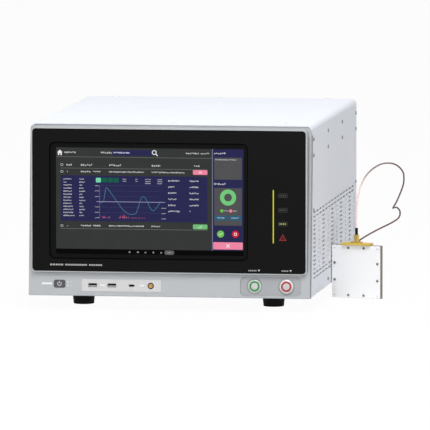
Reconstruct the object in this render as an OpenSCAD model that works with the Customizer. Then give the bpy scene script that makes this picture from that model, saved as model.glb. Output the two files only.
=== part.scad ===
// Bench tester for partial discharge: case, screen, front controls, rear panel, inner units and a standing sensor

/* [Case] */
// Width of the case
case_w = 430; // [400:1:480]
// Height of the case without its feet
case_h = 260; // [250:1:320]
// Depth from the screen's black fascia to the rear edge of the cover
case_d = 560; // [540:1:640]
// Thickness of the cover's sheet
sheet = 1.5; // [1:0.1:2]
// Outer radius of the cover's two long top bends
bend_r = 8; // [5:0.5:12]
// Thickness of the base tray, the front plate and the rear panel
plate_t = 2; // [1.5:0.1:3]
// Height of the tray's side flanges
flange_h = 20; // [16:1:30]
// Height of the feet
foot_h = 21.7; // [15:0.1:30]
// Radius of a foot where it meets the tray
foot_r = 17.8; // [12:0.2:22]
// Distance of the feet from the middle line
foot_x = 146.3; // [110:0.1:170]
// Distance of the front feet behind the fascia, and of the rear feet before the rear edge
foot_y = 104; // [70:1:150]

/* [Front bezel] */
// Lean of the bezel's face, in degrees
slant = 4.63; // [2:0.01:6]
// How far the face's lower edge lies behind the fascia
face_y = 1.4; // [0:0.1:4]
// Thickness of the bezel's face
bezel_t = 6; // [5:0.1:8]
// Shadow gap between bezel and cover
seam = 1.5; // [0.5:0.1:3]
// Radius of the bezel's top corners
bezel_r = 8.5; // [4:0.5:12]
// Chamfer on the bezel's top edge
bezel_chamfer = 2.5; // [1:0.1:4]
// Height of the chin below the fascia
chin_h = 37.4; // [36:0.1:50]
// Strip of bezel above the fascia
brow_h = 5.9; // [4:0.1:12]
// Strip of bezel beside the fascia
cheek_w = 6; // [4:0.1:12]
// Width of the bright lip round the fascia
lip_w = 1.7; // [1:0.1:3]
// Depth that the fascia lies below its lip
lip_step = 0.5; // [0.2:0.1:1.5]
// Wall of the raised block behind the lip
block_wall = 3.5; // [2.5:0.1:5]

/* [Screen] */
// Thickness of the black fascia
fascia_t = 2.5; // [1.5:0.1:4]
// Radius of the fascia's corners
fascia_r = 5.5; // [3:0.5:10]
// Width of the screen's window
window_w = 303.8; // [260:0.1:320]
// Window's distance from the fascia's left edge
window_x = 26; // [15:0.5:40]
// Window's distance from the fascia's lower edge
window_z = 18.8; // [14:0.1:24]
// Strip of fascia above the window
window_top = 20.1; // [14:0.1:30]
// Radius of the window's corners
window_r = 8.5; // [2:0.5:14]
// Thickness of the cover glass
glass_t = 2; // [1:0.1:3]
// Thickness of the display module
display_t = 8; // [5:0.5:10]
// Width of the light bar
light_w = 2.2; // [2:0.1:6]
// Length of the light bar
light_l = 82.8; // [60:0.1:110]
// Distance of the light bar from the window's right edge
light_gap = 38.9; // [20:0.1:60]
// Height of the light bar's middle above the fascia's lower edge
light_z = 86.9; // [60:0.1:120]

/* [Front controls] */
// Height of the buttons' middle on the chin
button_h = 18; // [17:0.1:20]
// Distance between start and stop buttons
button_gap = 48.9; // [40:0.1:56]
// Distance of the button pad's middle from the case's right side
pad_x = 59.9; // [56:0.1:90]
// Length of the button pad
pad_w = 92.4; // [86:0.1:100]
// Height of the button pad
pad_h = 28.5; // [26:0.1:30]
// Radius of a round button's cap
cap_r = 5.7; // [5:0.05:7]
// Width of the lit ring round a cap
ring_w = 2.2; // [1:0.1:2.4]
// Travel of the round buttons
press = 2; // [1:0.1:3]
// How far the stop button's bezel stands out of the face
stop_lift = 3; // [1:0.1:5]
// Width of the power button
power_w = 17.7; // [14:0.1:20]
// Height of the power button
power_h = 11.7; // [9:0.1:13]
// Distance of the power button from the case's left side
power_x = 47.3; // [40:0.1:60]
// Travel of the power button
power_press = 1.2; // [0.8:0.1:2]
// Length of the port plate
port_w = 121.7; // [118:0.1:130]
// Height of the port plate
port_h = 18.7; // [16:0.1:22]
// Distance of the port plate's middle from the case's left side
port_x = 142.15; // [140:0.05:160]

/* [Vents] */
// Length of a vent slot
slot_l = 26; // [16:1:30]
// Length of a short vent slot
dot_l = 9; // [5:0.5:12]
// Height of every vent slot
slot_h = 2.6; // [1.5:0.1:4]
// Distance between rows of slots
row_gap = 6.65; // [5:0.05:8]
// Height of the lowest row above the tray
row_low = 26.8; // [26:0.1:30]

/* [Rear panel] */
// Outer size of the fan's frame
fan_size = 92; // [80:1:92]
// Depth of the fan's frame
fan_t = 25; // [25:0.5:32]
// Distance of the fan's middle from the case's left side
fan_side = 95; // [60:1:110]
// Height of the fan's middle above the tray's underside
fan_h = 165; // [145:1:180]
// Distance of the mains inlet's middle from the case's left side
inlet_side = 55; // [40:1:65]
// Height of the mains inlet's middle
inlet_h = 58; // [56:1:70]
// Tilt of the mains rocker between its two rests, in degrees
rocker_tilt = 20; // [12:1:22]
// Travel of the fuse drawer
fuse_travel = 18; // [10:1:20]
// Height of the two high voltage terminals
terminal_h = 70; // [60:1:90]
// Distance of the sensor input from the case's right side
input_side = 30; // [20:1:50]
// Height of the sensor input above the tray's underside
input_h = 160; // [120:1:200]

/* [Sensor] */
// Width of the sensor
sensor_w = 79.6; // [70:0.1:100]
// Height of the sensor
sensor_h = 81.5; // [70:0.1:100]
// Thickness of the sensor's body
sensor_t = 7; // [5:0.5:12]
// Thickness of the sensor's white cover
cover_t = 3; // [2:0.1:4]
// Turn of the sensor about its vertical, in degrees
sensor_turn = 15.2; // [0:0.1:20]
// Gap between the sensor and the case's right side
sensor_gap = 1.8; // [1.5:0.1:40]
// Distance of the sensor's middle behind the fascia
sensor_y = 239.7; // [200:0.1:300]
// Diameter of the sensor's coaxial cable
cable_d = 2.5; // [2:0.1:2.7]

/* [Hidden] */
$fn = 48;

// Clearances
loose = 0.3;
close = 0.15;
shaft_gap = 0.05;
far = 2000;

// Case
switch_l = 20;
tray_z = foot_h;
inner_x = case_w / 2 - sheet - loose;
floor_z = tray_z + plate_t;
roof_z = tray_z + case_h - sheet - loose;
bezel_depth = bezel_t + seam;
front_plate_y = face_y + max(case_h * tan(slant) + bezel_t + 2.5, bezel_t + switch_l + 3.5);
rear_y = case_d - sheet - plate_t - 0.5;
rear_face_y = rear_y + plate_t;
foot_low_r = foot_r - 2.1;

// Screen
fascia_x = case_w / 2 - cheek_w;
fascia_low = tray_z + chin_h;
fascia_top = tray_z + case_h - brow_h;
fascia_back = lip_step + fascia_t;
window_left = -fascia_x + window_x;
window_low = fascia_low + window_z;
window_mid_x = window_left + window_w / 2;
window_h = fascia_top - fascia_low - window_z - window_top;
window_mid_z = window_low + window_h / 2;
glass_rim = 4;
glass_back = fascia_back + glass_t;
display_back = glass_back + display_t;
bracket_rim = 7;
light_mid_x = window_left + window_w + light_gap;
light_mid_z = fascia_low + light_z;

// Front controls, as depths below the slanted face
pad_front = 0.5;
pad_back = 2.5;
pad_mid_x = case_w / 2 - pad_x;
start_x = pad_mid_x - button_gap / 2;
stop_x = pad_mid_x + button_gap / 2;
start_front = pad_front - 0.3;
stop_front = pad_front - 0.5 - stop_lift;
ring_in_r = cap_r + 0.2;
ring_out_r = ring_in_r + ring_w;
bezel_in_r = ring_out_r + 0.1;
bezel_out_r = bezel_in_r + 1.55;
stop_flange_r = bezel_out_r + 0.8;
button_hole_r = bezel_out_r + close;
shelf = 4.4;
collar_t = 3;
cap_t = 4;
stem_r = 4;
bezel_back = bezel_t + 2;
stem_end = bezel_back + 4.2;
switch_back = bezel_t + switch_l;
power_mid_x = -case_w / 2 + power_x;
power_stem_r = 2;
board_front = 18;
board_t = 1.6;
port_mid_x = -case_w / 2 + port_x;
port_mid_h = 16.35;
port_front = -0.3;
port_back = 1;
usb_w = 13.3;
usb_h = 5.9;
usb_c_w = 9.1;
usb_c_h = 3.5;
usb_wall = 0.3;
usb_left_x = port_mid_x - 43.95;
usb_right_x = port_mid_x - 14.55;
usb_c_x = port_mid_x + 15.65;
jack_x = port_mid_x + 44.85;
jack_r = 3.15;
jack_hole_r = 4.9;
jack_ledge = 4;

// Vents and case screws
vent_front = 46;
vent_rear = case_d - 14;
slot_pitch = slot_l + dot_l;
column_gap = 2 * slot_pitch * 0.75;
screw_r = 1.5;
screw_head_r = 3;
screw_head_t = 1.3;
screw_front = front_plate_y + plate_t / 2;
screw_back = case_d - 9;
top_screw_x = case_w / 2 - 44.2;
top_screw_y = front_plate_y + 15;
screw_rows = [case_h - 21.5, case_h - 46];
screw_mid = 131;
screw_low = 10.5;
screw_step = (screw_back - screw_front) / 3;

// Rear panel
fan_mid_x = fan_side - case_w / 2;
fan_mid_z = tray_z + fan_h;
fan_bore_r = fan_size / 2 - 2.5;
fan_hub_r = 17.5;
fan_pin_r = 2;
fan_hole = fan_size / 2 - 4.75;
fan_front = rear_y - fan_t;
blade_tip_r = fan_bore_r - 1.5;
eye_r = 4;
eye_t = 1.6;
inlet_mid_x = inlet_side - case_w / 2;
inlet_mid_z = tray_z + inlet_h;
inlet_w = 30;
inlet_hh = 52;
inlet_face = rear_face_y + 2.5;
plug_z = inlet_mid_z - 14.5;
plug_w = 24.6;
plug_hh = 17;
plug_depth = 16.5;
fuse_z = inlet_mid_z + 0.5;
fuse_w = 24;
fuse_hh = 7;
rocker_z = inlet_mid_z + 15;
rocker_r = 10.5;
rocker_w = 12.8;
rocker_y = inlet_face - 4.5;
terminal_x = [20, 70];
terminal_l = 32;
terminal_bore = 20;
terminal_bore_r = 2.05;
post_x = -95;
post_z = tray_z + 45;
stud_r = 3;
lan_x = 130;
port_row_z = tray_z + case_h - 55;
input_x = case_w / 2 - input_side;
serial_x = 70;

// Sensor and its plugs
sensor_x = case_w / 2 + sensor_gap + sensor_w / 2 * cos(sensor_turn);
top_plate_w = 46.2;
jack_u = -0.4;
jack_v = cover_t;
top_plate_t = 3.5;
cover_gap = 1;
jack_base_z = sensor_h + top_plate_t;
flange_t = 1.6;
barrel_r = 3.1;
barrel_end = 8.5;
nut_start = 3.3;
nut_end = 12.6;
sleeve_end = 23;
sleeve_r = 2.2;

// Inner units on the tray
unit_gap = 10;
foot_in = 8;
supply_size = [100, 160, 50];
supply_back = 55;
supply_lift = 6;
core_w = 110;
core_h = 90;
core_t = 60;
core_y = rear_y - 176;
limb = 18;
coil_out = 12;
potted_size = [140, 150, 66];
potted_front = 110;
bushing_r = 9;
bushing_h = 22;
board_low = [inner_x - 118, front_plate_y + 40, 10];
shield_size = [74, 70, 20];
shield_back = 130;
sink_size = [60, 90, 26];
fin_t = 2.4;

// The set's origin is the middle of its footprint on the table, without the cable
set_left = -case_w / 2 - screw_head_t;
set_right = sensor_x + sensor_w / 2 * cos(sensor_turn) + (cover_t + sensor_t) * sin(sensor_turn);
set_front = min(0, face_y + stop_front - 0.7 + button_h * sin(slant));
set_rear = rear_face_y + terminal_l;
mid_x = (set_left + set_right) / 2;
mid_y = (set_front + set_rear) / 2;

// Cable route from the sensor's plug up, over, down behind the sensor and round to the rear panel
cable_route = [
  [255.6, 242.7, 108], [255.6, 242.7, 113], [255.7, 242.7, 126], [256.4, 242.8, 142],
  [258.7, 243.1, 161], [263.7, 243.8, 177], [270.7, 244.8, 189.5], [280.1, 246.2, 199],
  [291.9, 247.8, 206], [303.7, 249.5, 208], [313.9, 250.9, 206], [321.6, 252, 200.5],
  [326.5, 252.7, 193], [327.5, 252.8, 184.5], [326.5, 252.7, 174.5], [321.6, 252, 160.5],
  [315.6, 251.6, 147], [311.6, 253.6, 140.5], [309.9, 258.6, 137.5], [311.1, 264.6, 138],
  [314.6, 268.1, 138], [318.3, 269.6, 134.5], [319.7, 269.6, 129.5], [317.5, 269.6, 122],
  [306.1, 268.6, 114], [285.3, 267.6, 103.5], [267.5, 265.6, 93.5], [256, 264, 85.5],
  [247, 263, 75.5], [240, 263, 61.5], [234, 264, 45.5], [230.5, 268, 30],
  [229, 276, 15.5], [228.5, 288, 5.5], [228.5, 303, 1.8], [229, 330, 1.5],
  [229, 400, 1.5], [229, 470, 1.5], [229, 530, 1.5], [228, 560, 1.5],
  [225, 584, 1.6], [218, 603, 3], [209, 614, 10], [200, 620, 26],
  [192.5, 623, 50], [188, 624, 85], [185.7, 624, 120], [185, 623, 148],
  [185, 619, 166], [185, 610, 177.5], [185, 597, 181.5], [185, 588, 181.7],
  [185, 581, 181.7]
];
cable_sides = 8;
cable_step = 15;

// Places a child that is drawn from the tester's middle line, its fascia and the table
module in_frame() {
  translate([-mid_x, -mid_y, 0]) children();
}

// Places a child that is drawn on the slanted face: x, depth into the face, height up the face
module on_face() {
  in_frame() translate([0, face_y, tray_z]) rotate([-slant, 0, 0]) children();
}

// Places a child in the sensor's own axes: across, depth, height
module on_sensor() {
  in_frame() translate([sensor_x, sensor_y, 0]) rotate([0, 0, -sensor_turn]) children();
}

// Extrudes an x and z outline from one depth to another
module slab_y(y1, y2) {
  translate([0, y2, 0]) rotate([90, 0, 0]) linear_extrude(y2 - y1) children();
}

// Extrudes a y and z outline along x
module slab_x(x1, x2) {
  translate([x1, 0, 0]) rotate([90, 0, 90]) linear_extrude(x2 - x1) children();
}

module box(low, high) {
  translate(low) cube(high - low);
}

// Round bar along the depth
module rod_y(r, y1, y2) {
  translate([0, y1, 0]) rotate([-90, 0, 0]) cylinder(r = r, h = y2 - y1);
}

// Turned piece whose profile is given as radius and depth
module turned_y() {
  rotate([-90, 0, 0]) rotate_extrude() children();
}

// Rectangle with round corners, from its middle
module round_rect(w, h, r) {
  square([w - 2 * r, h], center = true);
  square([w, h - 2 * r], center = true);
  for (sx = [-1, 1], sy = [-1, 1]) {
    translate([sx * (w / 2 - r), sy * (h / 2 - r)]) circle(r);
  }
}

// Rectangle from the middle of its lower edge, with its top corners round
module arch_rect(w, h, r) {
  translate([-w / 2, 0]) square([w, h - r]);
  translate([-w / 2 + r, 0]) square([w - 2 * r, h]);
  for (sx = [-1, 1]) {
    translate([sx * (w / 2 - r), h - r]) circle(r);
  }
}

// Everything in front of a depth below the slanted face
module before_depth(d) {
  on_face() box([-far, -far, -far], [far, d, far]);
}

module base_tray() color([0.75, 0.76, 0.78]) {
  difference() {
    in_frame() union() {
      box([-inner_x, 0, tray_z], [inner_x, case_d, floor_z]);
      for (s = [-1, 1]) {
        scale_x(s) box([inner_x - plate_t, front_plate_y + plate_t + loose, floor_z],
                       [inner_x, rear_y - loose, floor_z + flange_h]);
      }
    }
    before_depth(bezel_depth);
    in_frame() side_screw_holes([screw_low], 2);
  }
}

// Mirrors a child to the left side when s is -1
module scale_x(s) {
  mirror([s < 0 ? 1 : 0, 0, 0]) children();
}

// Slot along the depth with round ends, as a y and z outline
module slot_outline(y, z, l) {
  translate([y, z]) {
    square([l - slot_h, slot_h], center = true);
    for (s = [-1, 1]) {
      translate([s * (l - slot_h) / 2, 0]) circle(slot_h / 2, $fn = 16);
    }
  }
}

// The vent field: two dashed rows above and below, with alternating long and short slots between
module vent_outline() {
  long_count = floor((vent_rear - vent_front) / slot_pitch);
  column_count = floor((vent_rear - vent_front - slot_l) / column_gap) + 1;
  for (row = [0 : 15]) {
    z = tray_z + row_low + row * row_gap;
    if (row < 2 || row > 13) {
      for (i = [0 : long_count - 1]) {
        slot_outline(vent_front + slot_l / 2 + i * slot_pitch, z, slot_l);
      }
    } else {
      for (i = [0 : column_count - 1]) {
        slot_outline(vent_front + slot_l / 2 + i * column_gap, z, i % 2 == 0 ? slot_l : dot_l);
      }
    }
  }
}

// Places a child at each case screw on the right side, along +x from the cover's outside
module at_side_screws(rows, count) {
  for (z = rows, i = count == 2 ? [1, 2] : [0 : 3]) {
    translate([case_w / 2, screw_front + i * screw_step, tray_z + z]) rotate([0, 90, 0]) children();
  }
}

module side_screw_holes(rows, count) {
  for (s = [-1, 1]) {
    scale_x(s) at_side_screws(rows, count) translate([0, 0, -10]) cylinder(r = screw_r + close, h = 20, $fn = 24);
  }
}

// Places a child at the screws into the front plate and rear panel, halfway up the side
module at_mid_screws() {
  for (y = [screw_front, screw_back]) {
    translate([case_w / 2, y, tray_z + screw_mid]) rotate([0, 90, 0]) children();
  }
}

module at_top_screws() {
  for (x = [-top_screw_x, 0, top_screw_x], y = [top_screw_y, screw_back]) {
    translate([x, y, tray_z + case_h]) children();
  }
}

// One folded sheet: top and two sides, with the vents through both sides
module cover() color([0.93, 0.94, 0.95]) {
  difference() {
    in_frame() slab_y(face_y, case_d) translate([0, tray_z]) difference() {
      arch_rect(case_w, case_h, bend_r);
      translate([0, -1]) arch_rect(case_w - 2 * sheet, case_h - sheet + 1, bend_r - sheet);
    }
    before_depth(bezel_depth);
    in_frame() {
      for (s = [-1, 1]) {
        scale_x(s) slab_x(case_w / 2 - sheet - 1, case_w / 2 + 1) vent_outline();
      }
      side_screw_holes(screw_rows, 4);
      side_screw_holes([screw_low], 2);
      for (s = [-1, 1]) {
        scale_x(s) at_mid_screws() translate([0, 0, -5]) cylinder(r = screw_r + close, h = 10, $fn = 24);
      }
      at_top_screws() translate([0, 0, -5]) cylinder(r = screw_r + close, h = 10, $fn = 24);
    }
  }
}

// Pan head screw along +z, its head seated at z = 0
module case_screw(shank) {
  cylinder(r1 = screw_head_r, r2 = screw_head_r - 0.6, h = screw_head_t, $fn = 24);
  translate([0, 0, -shank]) cylinder(r = screw_r, h = shank + 0.2, $fn = 24);
}

module cover_screws() color([0.6, 0.62, 0.66]) in_frame() {
  for (s = [-1, 1]) {
    scale_x(s) {
      at_side_screws(screw_rows, 4) case_screw(sheet);
      at_side_screws([screw_low], 2) case_screw(sheet + loose + plate_t + 1);
      at_mid_screws() case_screw(sheet);
    }
  }
  at_top_screws() case_screw(sheet);
}

// Four tapered rubber feet with a rounded lower edge
module feet() color([0.08, 0.08, 0.08]) in_frame() {
  edge = 1;
  for (x = [-foot_x, foot_x], y = [foot_y, case_d - foot_y]) {
    translate([x, y, 0]) rotate_extrude() union() {
      polygon([[0, 0], [foot_low_r - edge, 0], [foot_low_r, edge], [foot_r, foot_h], [0, foot_h]]);
      translate([foot_low_r - edge, edge]) circle(edge * 0.995);
    }
  }
}

// Outline of an inner plate that stands on the tray and fits under the cover
module inner_plate() {
  translate([0, floor_z]) arch_rect(2 * inner_x, roof_z - floor_z, bend_r);
}

// Plate behind the screen, with a top flange under the cover's front screws
module front_plate() color([0.72, 0.73, 0.75]) in_frame() {
  flange_x = inner_x - 2 * bend_r;
  box([-flange_x, front_plate_y, roof_z - plate_t], [flange_x, 2 * top_screw_y - front_plate_y, roof_z]);
  difference() {
    slab_y(front_plate_y, front_plate_y + plate_t) inner_plate();
    translate([window_mid_x, 0, window_mid_z]) slab_y(0, far) round_rect(56, 40, 6);
    translate([pad_mid_x, 0, tray_z + button_h + 28]) slab_y(0, far) round_rect(56, 16, 6);
  }
}

module rear_panel() color([0.88, 0.89, 0.9]) in_frame() {
  difference() {
    slab_y(rear_y, rear_face_y) inner_plate();
    translate([fan_mid_x, 0, fan_mid_z]) {
      rod_y(fan_bore_r - 0.5, 0, far);
      at_fan_holes() rod_y(2.2, 0, far);
    }
    translate([inlet_mid_x, 0, inlet_mid_z]) slab_y(0, far) square([inlet_w + loose, inlet_hh + loose], center = true);
    for (x = terminal_x) {
      translate([x, 0, tray_z + terminal_h]) rod_y(6 + close, 0, far);
    }
    translate([post_x, 0, post_z]) rod_y(stud_r + 1 + close, 0, far);
    translate([lan_x, 0, port_row_z]) slab_y(0, far) square([16 + loose, 14 + loose], center = true);
    translate([serial_x, 0, port_row_z]) slab_y(0, far) round_rect(20 + loose, 11 + loose, 3);
    translate([input_x, 0, tray_z + input_h]) rod_y(barrel_r + close, 0, far);
    rear_louvres();
  }
}

// Slots for cooling air in the rear panel
module rear_louvres() {
  for (i = [0 : 8]) {
    translate([-10 + i * 12, 0, tray_z + 140]) slab_y(0, far) round_rect(3.6, 60, 1.7);
  }
}

module at_fan_holes() {
  for (sx = [-1, 1], sz = [-1, 1]) {
    translate([sx * fan_hole, 0, sz * fan_hole]) children();
  }
}

// Slanted face with the raised, upright block that carries the black fascia
module front_bezel() color([0.76, 0.77, 0.78]) {
  block_low = fascia_low - lip_w;
  block_top = fascia_top + lip_w;
  block_w = 2 * (fascia_x + lip_w);
  mid_z = (block_low + block_top) / 2;
  face_h = case_h / cos(slant);
  difference() {
    union() {
      difference() {
        on_face() slab_y(0, bezel_t) arch_rect(case_w, face_h, bezel_r);
        on_face() translate([-far, -bezel_chamfer, face_h]) rotate([-45, 0, 0]) cube([2 * far, far, far]);
      }
      in_frame() translate([0, 0, mid_z])
        slab_y(0, front_plate_y) round_rect(block_w, block_top - block_low, fascia_r + lip_w);
    }
    in_frame() translate([0, 0, mid_z]) {
      slab_y(-1, fascia_back)
        round_rect(2 * fascia_x + close, fascia_top - fascia_low + close, fascia_r);
      slab_y(-1, far)
        round_rect(block_w - 2 * block_wall, block_top - block_low - 2 * block_wall, fascia_r);
    }
    on_face() {
      translate([pad_mid_x, 0, button_h]) slab_y(-1, pad_back) round_rect(pad_w + loose, pad_h + loose, 7);
      for (x = [start_x, stop_x]) {
        translate([x, 0, button_h]) rod_y(button_hole_r, -1, far);
      }
      translate([power_mid_x, 0, button_h]) slab_y(-1, bezel_t + 1) round_rect(power_w + 0.4, power_h + 0.4, 3.2);
      at_light_pipes() rod_y(1, -1, bezel_t + 1);
      translate([port_mid_x, 0, port_mid_h]) slab_y(-1, port_back) round_rect(port_w + loose, port_h + loose, 2);
      port_openings(bezel_t + 1);
      translate([jack_x, 0, port_mid_h]) {
        rod_y(jack_hole_r, -1, jack_ledge);
        rod_y(jack_r + close, 0, bezel_t + 1);
      }
    }
  }
}

module at_light_pipes() {
  for (h = [button_h - 3, button_h + 3]) {
    translate([power_mid_x + power_w / 2 + 3.8, 0, h]) children();
  }
}

// Openings for the three sockets, from the front to a depth
module port_openings(depth) {
  for (x = [usb_left_x, usb_right_x]) {
    translate([x, 0, port_mid_h]) slab_y(-1, depth) round_rect(usb_w + 0.4, usb_h + 0.4, 0.6);
  }
  translate([usb_c_x, 0, port_mid_h]) slab_y(-1, depth) round_rect(usb_c_w + 0.4, usb_c_h + 0.4, 1.9);
}

// Black panel with the screen's window and the light bar's slot
module fascia() color([0.1, 0.1, 0.11]) in_frame() {
  difference() {
    translate([0, 0, (fascia_low + fascia_top) / 2]) slab_y(lip_step, fascia_back)
      round_rect(2 * fascia_x, fascia_top - fascia_low, fascia_r);
    translate([window_mid_x, 0, window_mid_z]) slab_y(-1, far) round_rect(window_w, window_h, window_r);
    translate([light_mid_x, 0, light_mid_z]) slab_y(-1, far) square([light_w + 0.2, light_l + 0.2], center = true);
  }
}

module display_glass() color([0.05, 0.05, 0.06]) in_frame() {
  translate([window_mid_x, 0, window_mid_z]) slab_y(fascia_back, glass_back)
    round_rect(window_w + 2 * glass_rim, window_h + 2 * glass_rim, window_r);
}

// Flat panel behind the touch glass
module display_module() color([0.55, 0.56, 0.58]) in_frame() translate([window_mid_x, 0, window_mid_z]) {
  slab_y(glass_back, display_back) round_rect(window_w, window_h, 2);
}

// Sheet bracket on four posts between the display and the front plate
module display_bracket() color([0.7, 0.71, 0.73]) in_frame() translate([window_mid_x, 0, window_mid_z]) {
  w = window_w + 2 * bracket_rim;
  h = window_h + 2 * bracket_rim;
  difference() {
    slab_y(display_back, display_back + plate_t) round_rect(w, h, 4);
    for (i = [-1, 0, 1]) {
      translate([i * w / 4, 0, 0]) slab_y(0, far) round_rect(56, 40, 4);
    }
  }
  for (sx = [-1, 1], sz = [-1, 1]) {
    translate([sx * (w / 2 - 10), 0, sz * (h / 2 - 10)]) rod_y(4, display_back + plate_t, front_plate_y);
  }
}

module status_light() color([0.85, 0.83, 0.2]) in_frame() translate([light_mid_x, 0, light_mid_z]) {
  slab_y(lip_step - 0.2, fascia_back) square([light_w, light_l], center = true);
  slab_y(fascia_back, glass_back) square([light_w + 4, light_l + 4], center = true);
}

module status_light_board() color([0.1, 0.35, 0.2]) in_frame() translate([light_mid_x, 0, light_mid_z]) {
  slab_y(glass_back, glass_back + board_t) square([light_w + 8, light_l + 8], center = true);
  for (s = [-1, 1]) {
    translate([0, 0, s * light_l / 3]) rod_y(2.5, glass_back + board_t, front_plate_y);
  }
}

// Sprung cap with a stem that runs in its switch
module power_button() color([0.35, 0.34, 0.37]) on_face() translate([power_mid_x, 0, button_h]) {
  slab_y(-0.8, cap_t) round_rect(power_w, power_h, 3);
  rod_y(power_stem_r, cap_t, stem_end);
}

module power_switch() color([0.2, 0.2, 0.22]) on_face() translate([power_mid_x, 0, button_h]) {
  difference() {
    slab_y(bezel_back, board_front) round_rect(16, 11, 1);
    rod_y(power_stem_r + shaft_gap, bezel_back - 1, stem_end + power_press + 0.6);
  }
}

module power_light_pipes() color([0.9, 0.9, 0.85]) on_face() at_light_pipes() rod_y(0.9, -0.2, board_front);

module port_plate() color([0.83, 0.84, 0.85]) on_face() {
  difference() {
    translate([port_mid_x, 0, port_mid_h]) slab_y(port_front, port_back) round_rect(port_w, port_h, 2);
    port_openings(far);
    translate([jack_x, 0, port_mid_h]) rod_y(jack_hole_r, -1, far);
  }
}

// Two sheet shells, each with its contact tongue
module usb_a_sockets() color([0.7, 0.7, 0.72]) on_face() {
  for (x = [usb_left_x, usb_right_x]) {
    translate([x, 0, port_mid_h]) {
      difference() {
        slab_y(-0.1, board_front) round_rect(usb_w, usb_h, 0.5);
        slab_y(-1, far) square([usb_w - 2 * usb_wall, usb_h - 2 * usb_wall], center = true);
      }
      translate([0, 0, -1.2]) slab_y(1.5, board_front) square([usb_w - 1.9, 1.9], center = true);
    }
  }
}

module usb_c_socket() color([0.7, 0.7, 0.72]) on_face() translate([usb_c_x, 0, port_mid_h]) {
  difference() {
    slab_y(-0.1, board_front) round_rect(usb_c_w, usb_c_h, 1.7);
    slab_y(-1, far) round_rect(usb_c_w - 2 * usb_wall, usb_c_h - 2 * usb_wall, 1.4);
  }
  slab_y(4, board_front) square([6.6, 0.7], center = true);
}

// Gold barrel with a flange on the bezel's ledge, an insulator's bore and a centre contact
module signal_jack() color([0.83, 0.67, 0.3]) on_face() translate([jack_x, 0, port_mid_h]) {
  turned_y() polygon([
    [2.4, -1], [jack_r, -1], [jack_r, jack_ledge - 1], [jack_hole_r - 0.1, jack_ledge - 1],
    [jack_hole_r - 0.1, jack_ledge], [jack_r, jack_ledge], [jack_r, board_front], [2.4, board_front]
  ]);
  turned_y() polygon([[0, 0], [1.2, 0], [1.2, 3], [2.3, 3], [2.3, board_front], [0, board_front]]);
}

// Upright board behind the chin, on four pillars that reach the front plate
module front_io_board() color([0.1, 0.35, 0.2]) {
  left = power_mid_x - 14;
  right = jack_x + 12;
  back = board_front + board_t;
  on_face() box([left, board_front, 5], [right, back, 30]);
  intersection() {
    on_face() {
      for (x = [left + 5, right - 5], h = [8.5, 26.5]) {
        translate([x, 0, h]) rod_y(2.5, back, far / 20);
      }
    }
    in_frame() box([-far, -far, 0], [far, front_plate_y, far]);
  }
}

// Insert in the chin that holds both round buttons, with a groove round the flush one
module button_pad() color([0.74, 0.75, 0.77]) on_face() {
  difference() {
    translate([pad_mid_x, 0, button_h]) slab_y(pad_front, pad_back) round_rect(pad_w, pad_h, 7);
    for (x = [start_x, stop_x]) {
      translate([x, 0, button_h]) rod_y(button_hole_r, -1, far);
    }
    translate([start_x, 0, button_h]) turned_y()
      polygon([[bezel_out_r + 1.4, -1], [bezel_out_r + 2.1, -1], [bezel_out_r + 2.1, 1], [bezel_out_r + 1.4, 1]]);
  }
}

// Fixed metal bezel of a round button, with a shelf that the lit ring sits on
module round_bezel(front, flange_r) {
  turned_y() polygon([
    [bezel_in_r, front], [flange_r, front], [flange_r, pad_front], [bezel_out_r, pad_front],
    [bezel_out_r, bezel_back], [ring_in_r + close, bezel_back], [ring_in_r + close, front + shelf],
    [bezel_in_r, front + shelf]
  ]);
}

module round_ring(front) {
  turned_y() polygon([
    [ring_in_r, front - 0.2], [ring_out_r, front - 0.2], [ring_out_r, front + shelf], [ring_in_r, front + shelf]
  ]);
}

// Cap that travels, with a crowned front and a stem into the switch
module round_cap(front) {
  turned_y() polygon([
    [0, front - 0.7], [cap_r * 0.6, front - 0.6], [cap_r - 0.4, front - 0.4], [cap_r, front],
    [cap_r, front + cap_t - 0.6], [stem_r, front + cap_t - 0.6], [stem_r, stem_end], [0, stem_end]
  ]);
}

// Switch body behind the chin, whose collar clamps the face against the bezel
module round_switch() {
  collar_r = bezel_out_r + 2.3;
  turned_y() polygon([
    [bezel_out_r + 0.1, bezel_t], [collar_r, bezel_t], [collar_r, bezel_t + collar_t],
    [bezel_out_r, bezel_t + collar_t], [bezel_out_r, switch_back], [0, switch_back],
    [0, stem_end + press + 1], [stem_r + shaft_gap, stem_end + press + 1],
    [stem_r + shaft_gap, bezel_back], [bezel_out_r + 0.1, bezel_back]
  ]);
}

module at_start() {
  on_face() translate([start_x, 0, button_h]) children();
}

module at_stop() {
  on_face() translate([stop_x, 0, button_h]) children();
}

module start_bezel() color([0.9, 0.91, 0.91]) at_start() round_bezel(start_front, bezel_out_r);
module start_ring() color([0.24, 0.63, 0.35]) at_start() round_ring(start_front);
module start_button() color([0.84, 0.82, 0.83]) at_start() round_cap(start_front);
module start_switch() color([0.2, 0.2, 0.22]) at_start() round_switch();
module stop_bezel() color([0.93, 0.93, 0.93]) at_stop() round_bezel(stop_front, stop_flange_r);
module stop_ring() color([0.75, 0.22, 0.24]) at_stop() round_ring(stop_front);
module stop_button() color([0.84, 0.82, 0.83]) at_stop() round_cap(stop_front);
module stop_switch() color([0.2, 0.2, 0.22]) at_stop() round_switch();

module at_fan() {
  in_frame() translate([fan_mid_x, 0, fan_mid_z]) children();
}

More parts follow.
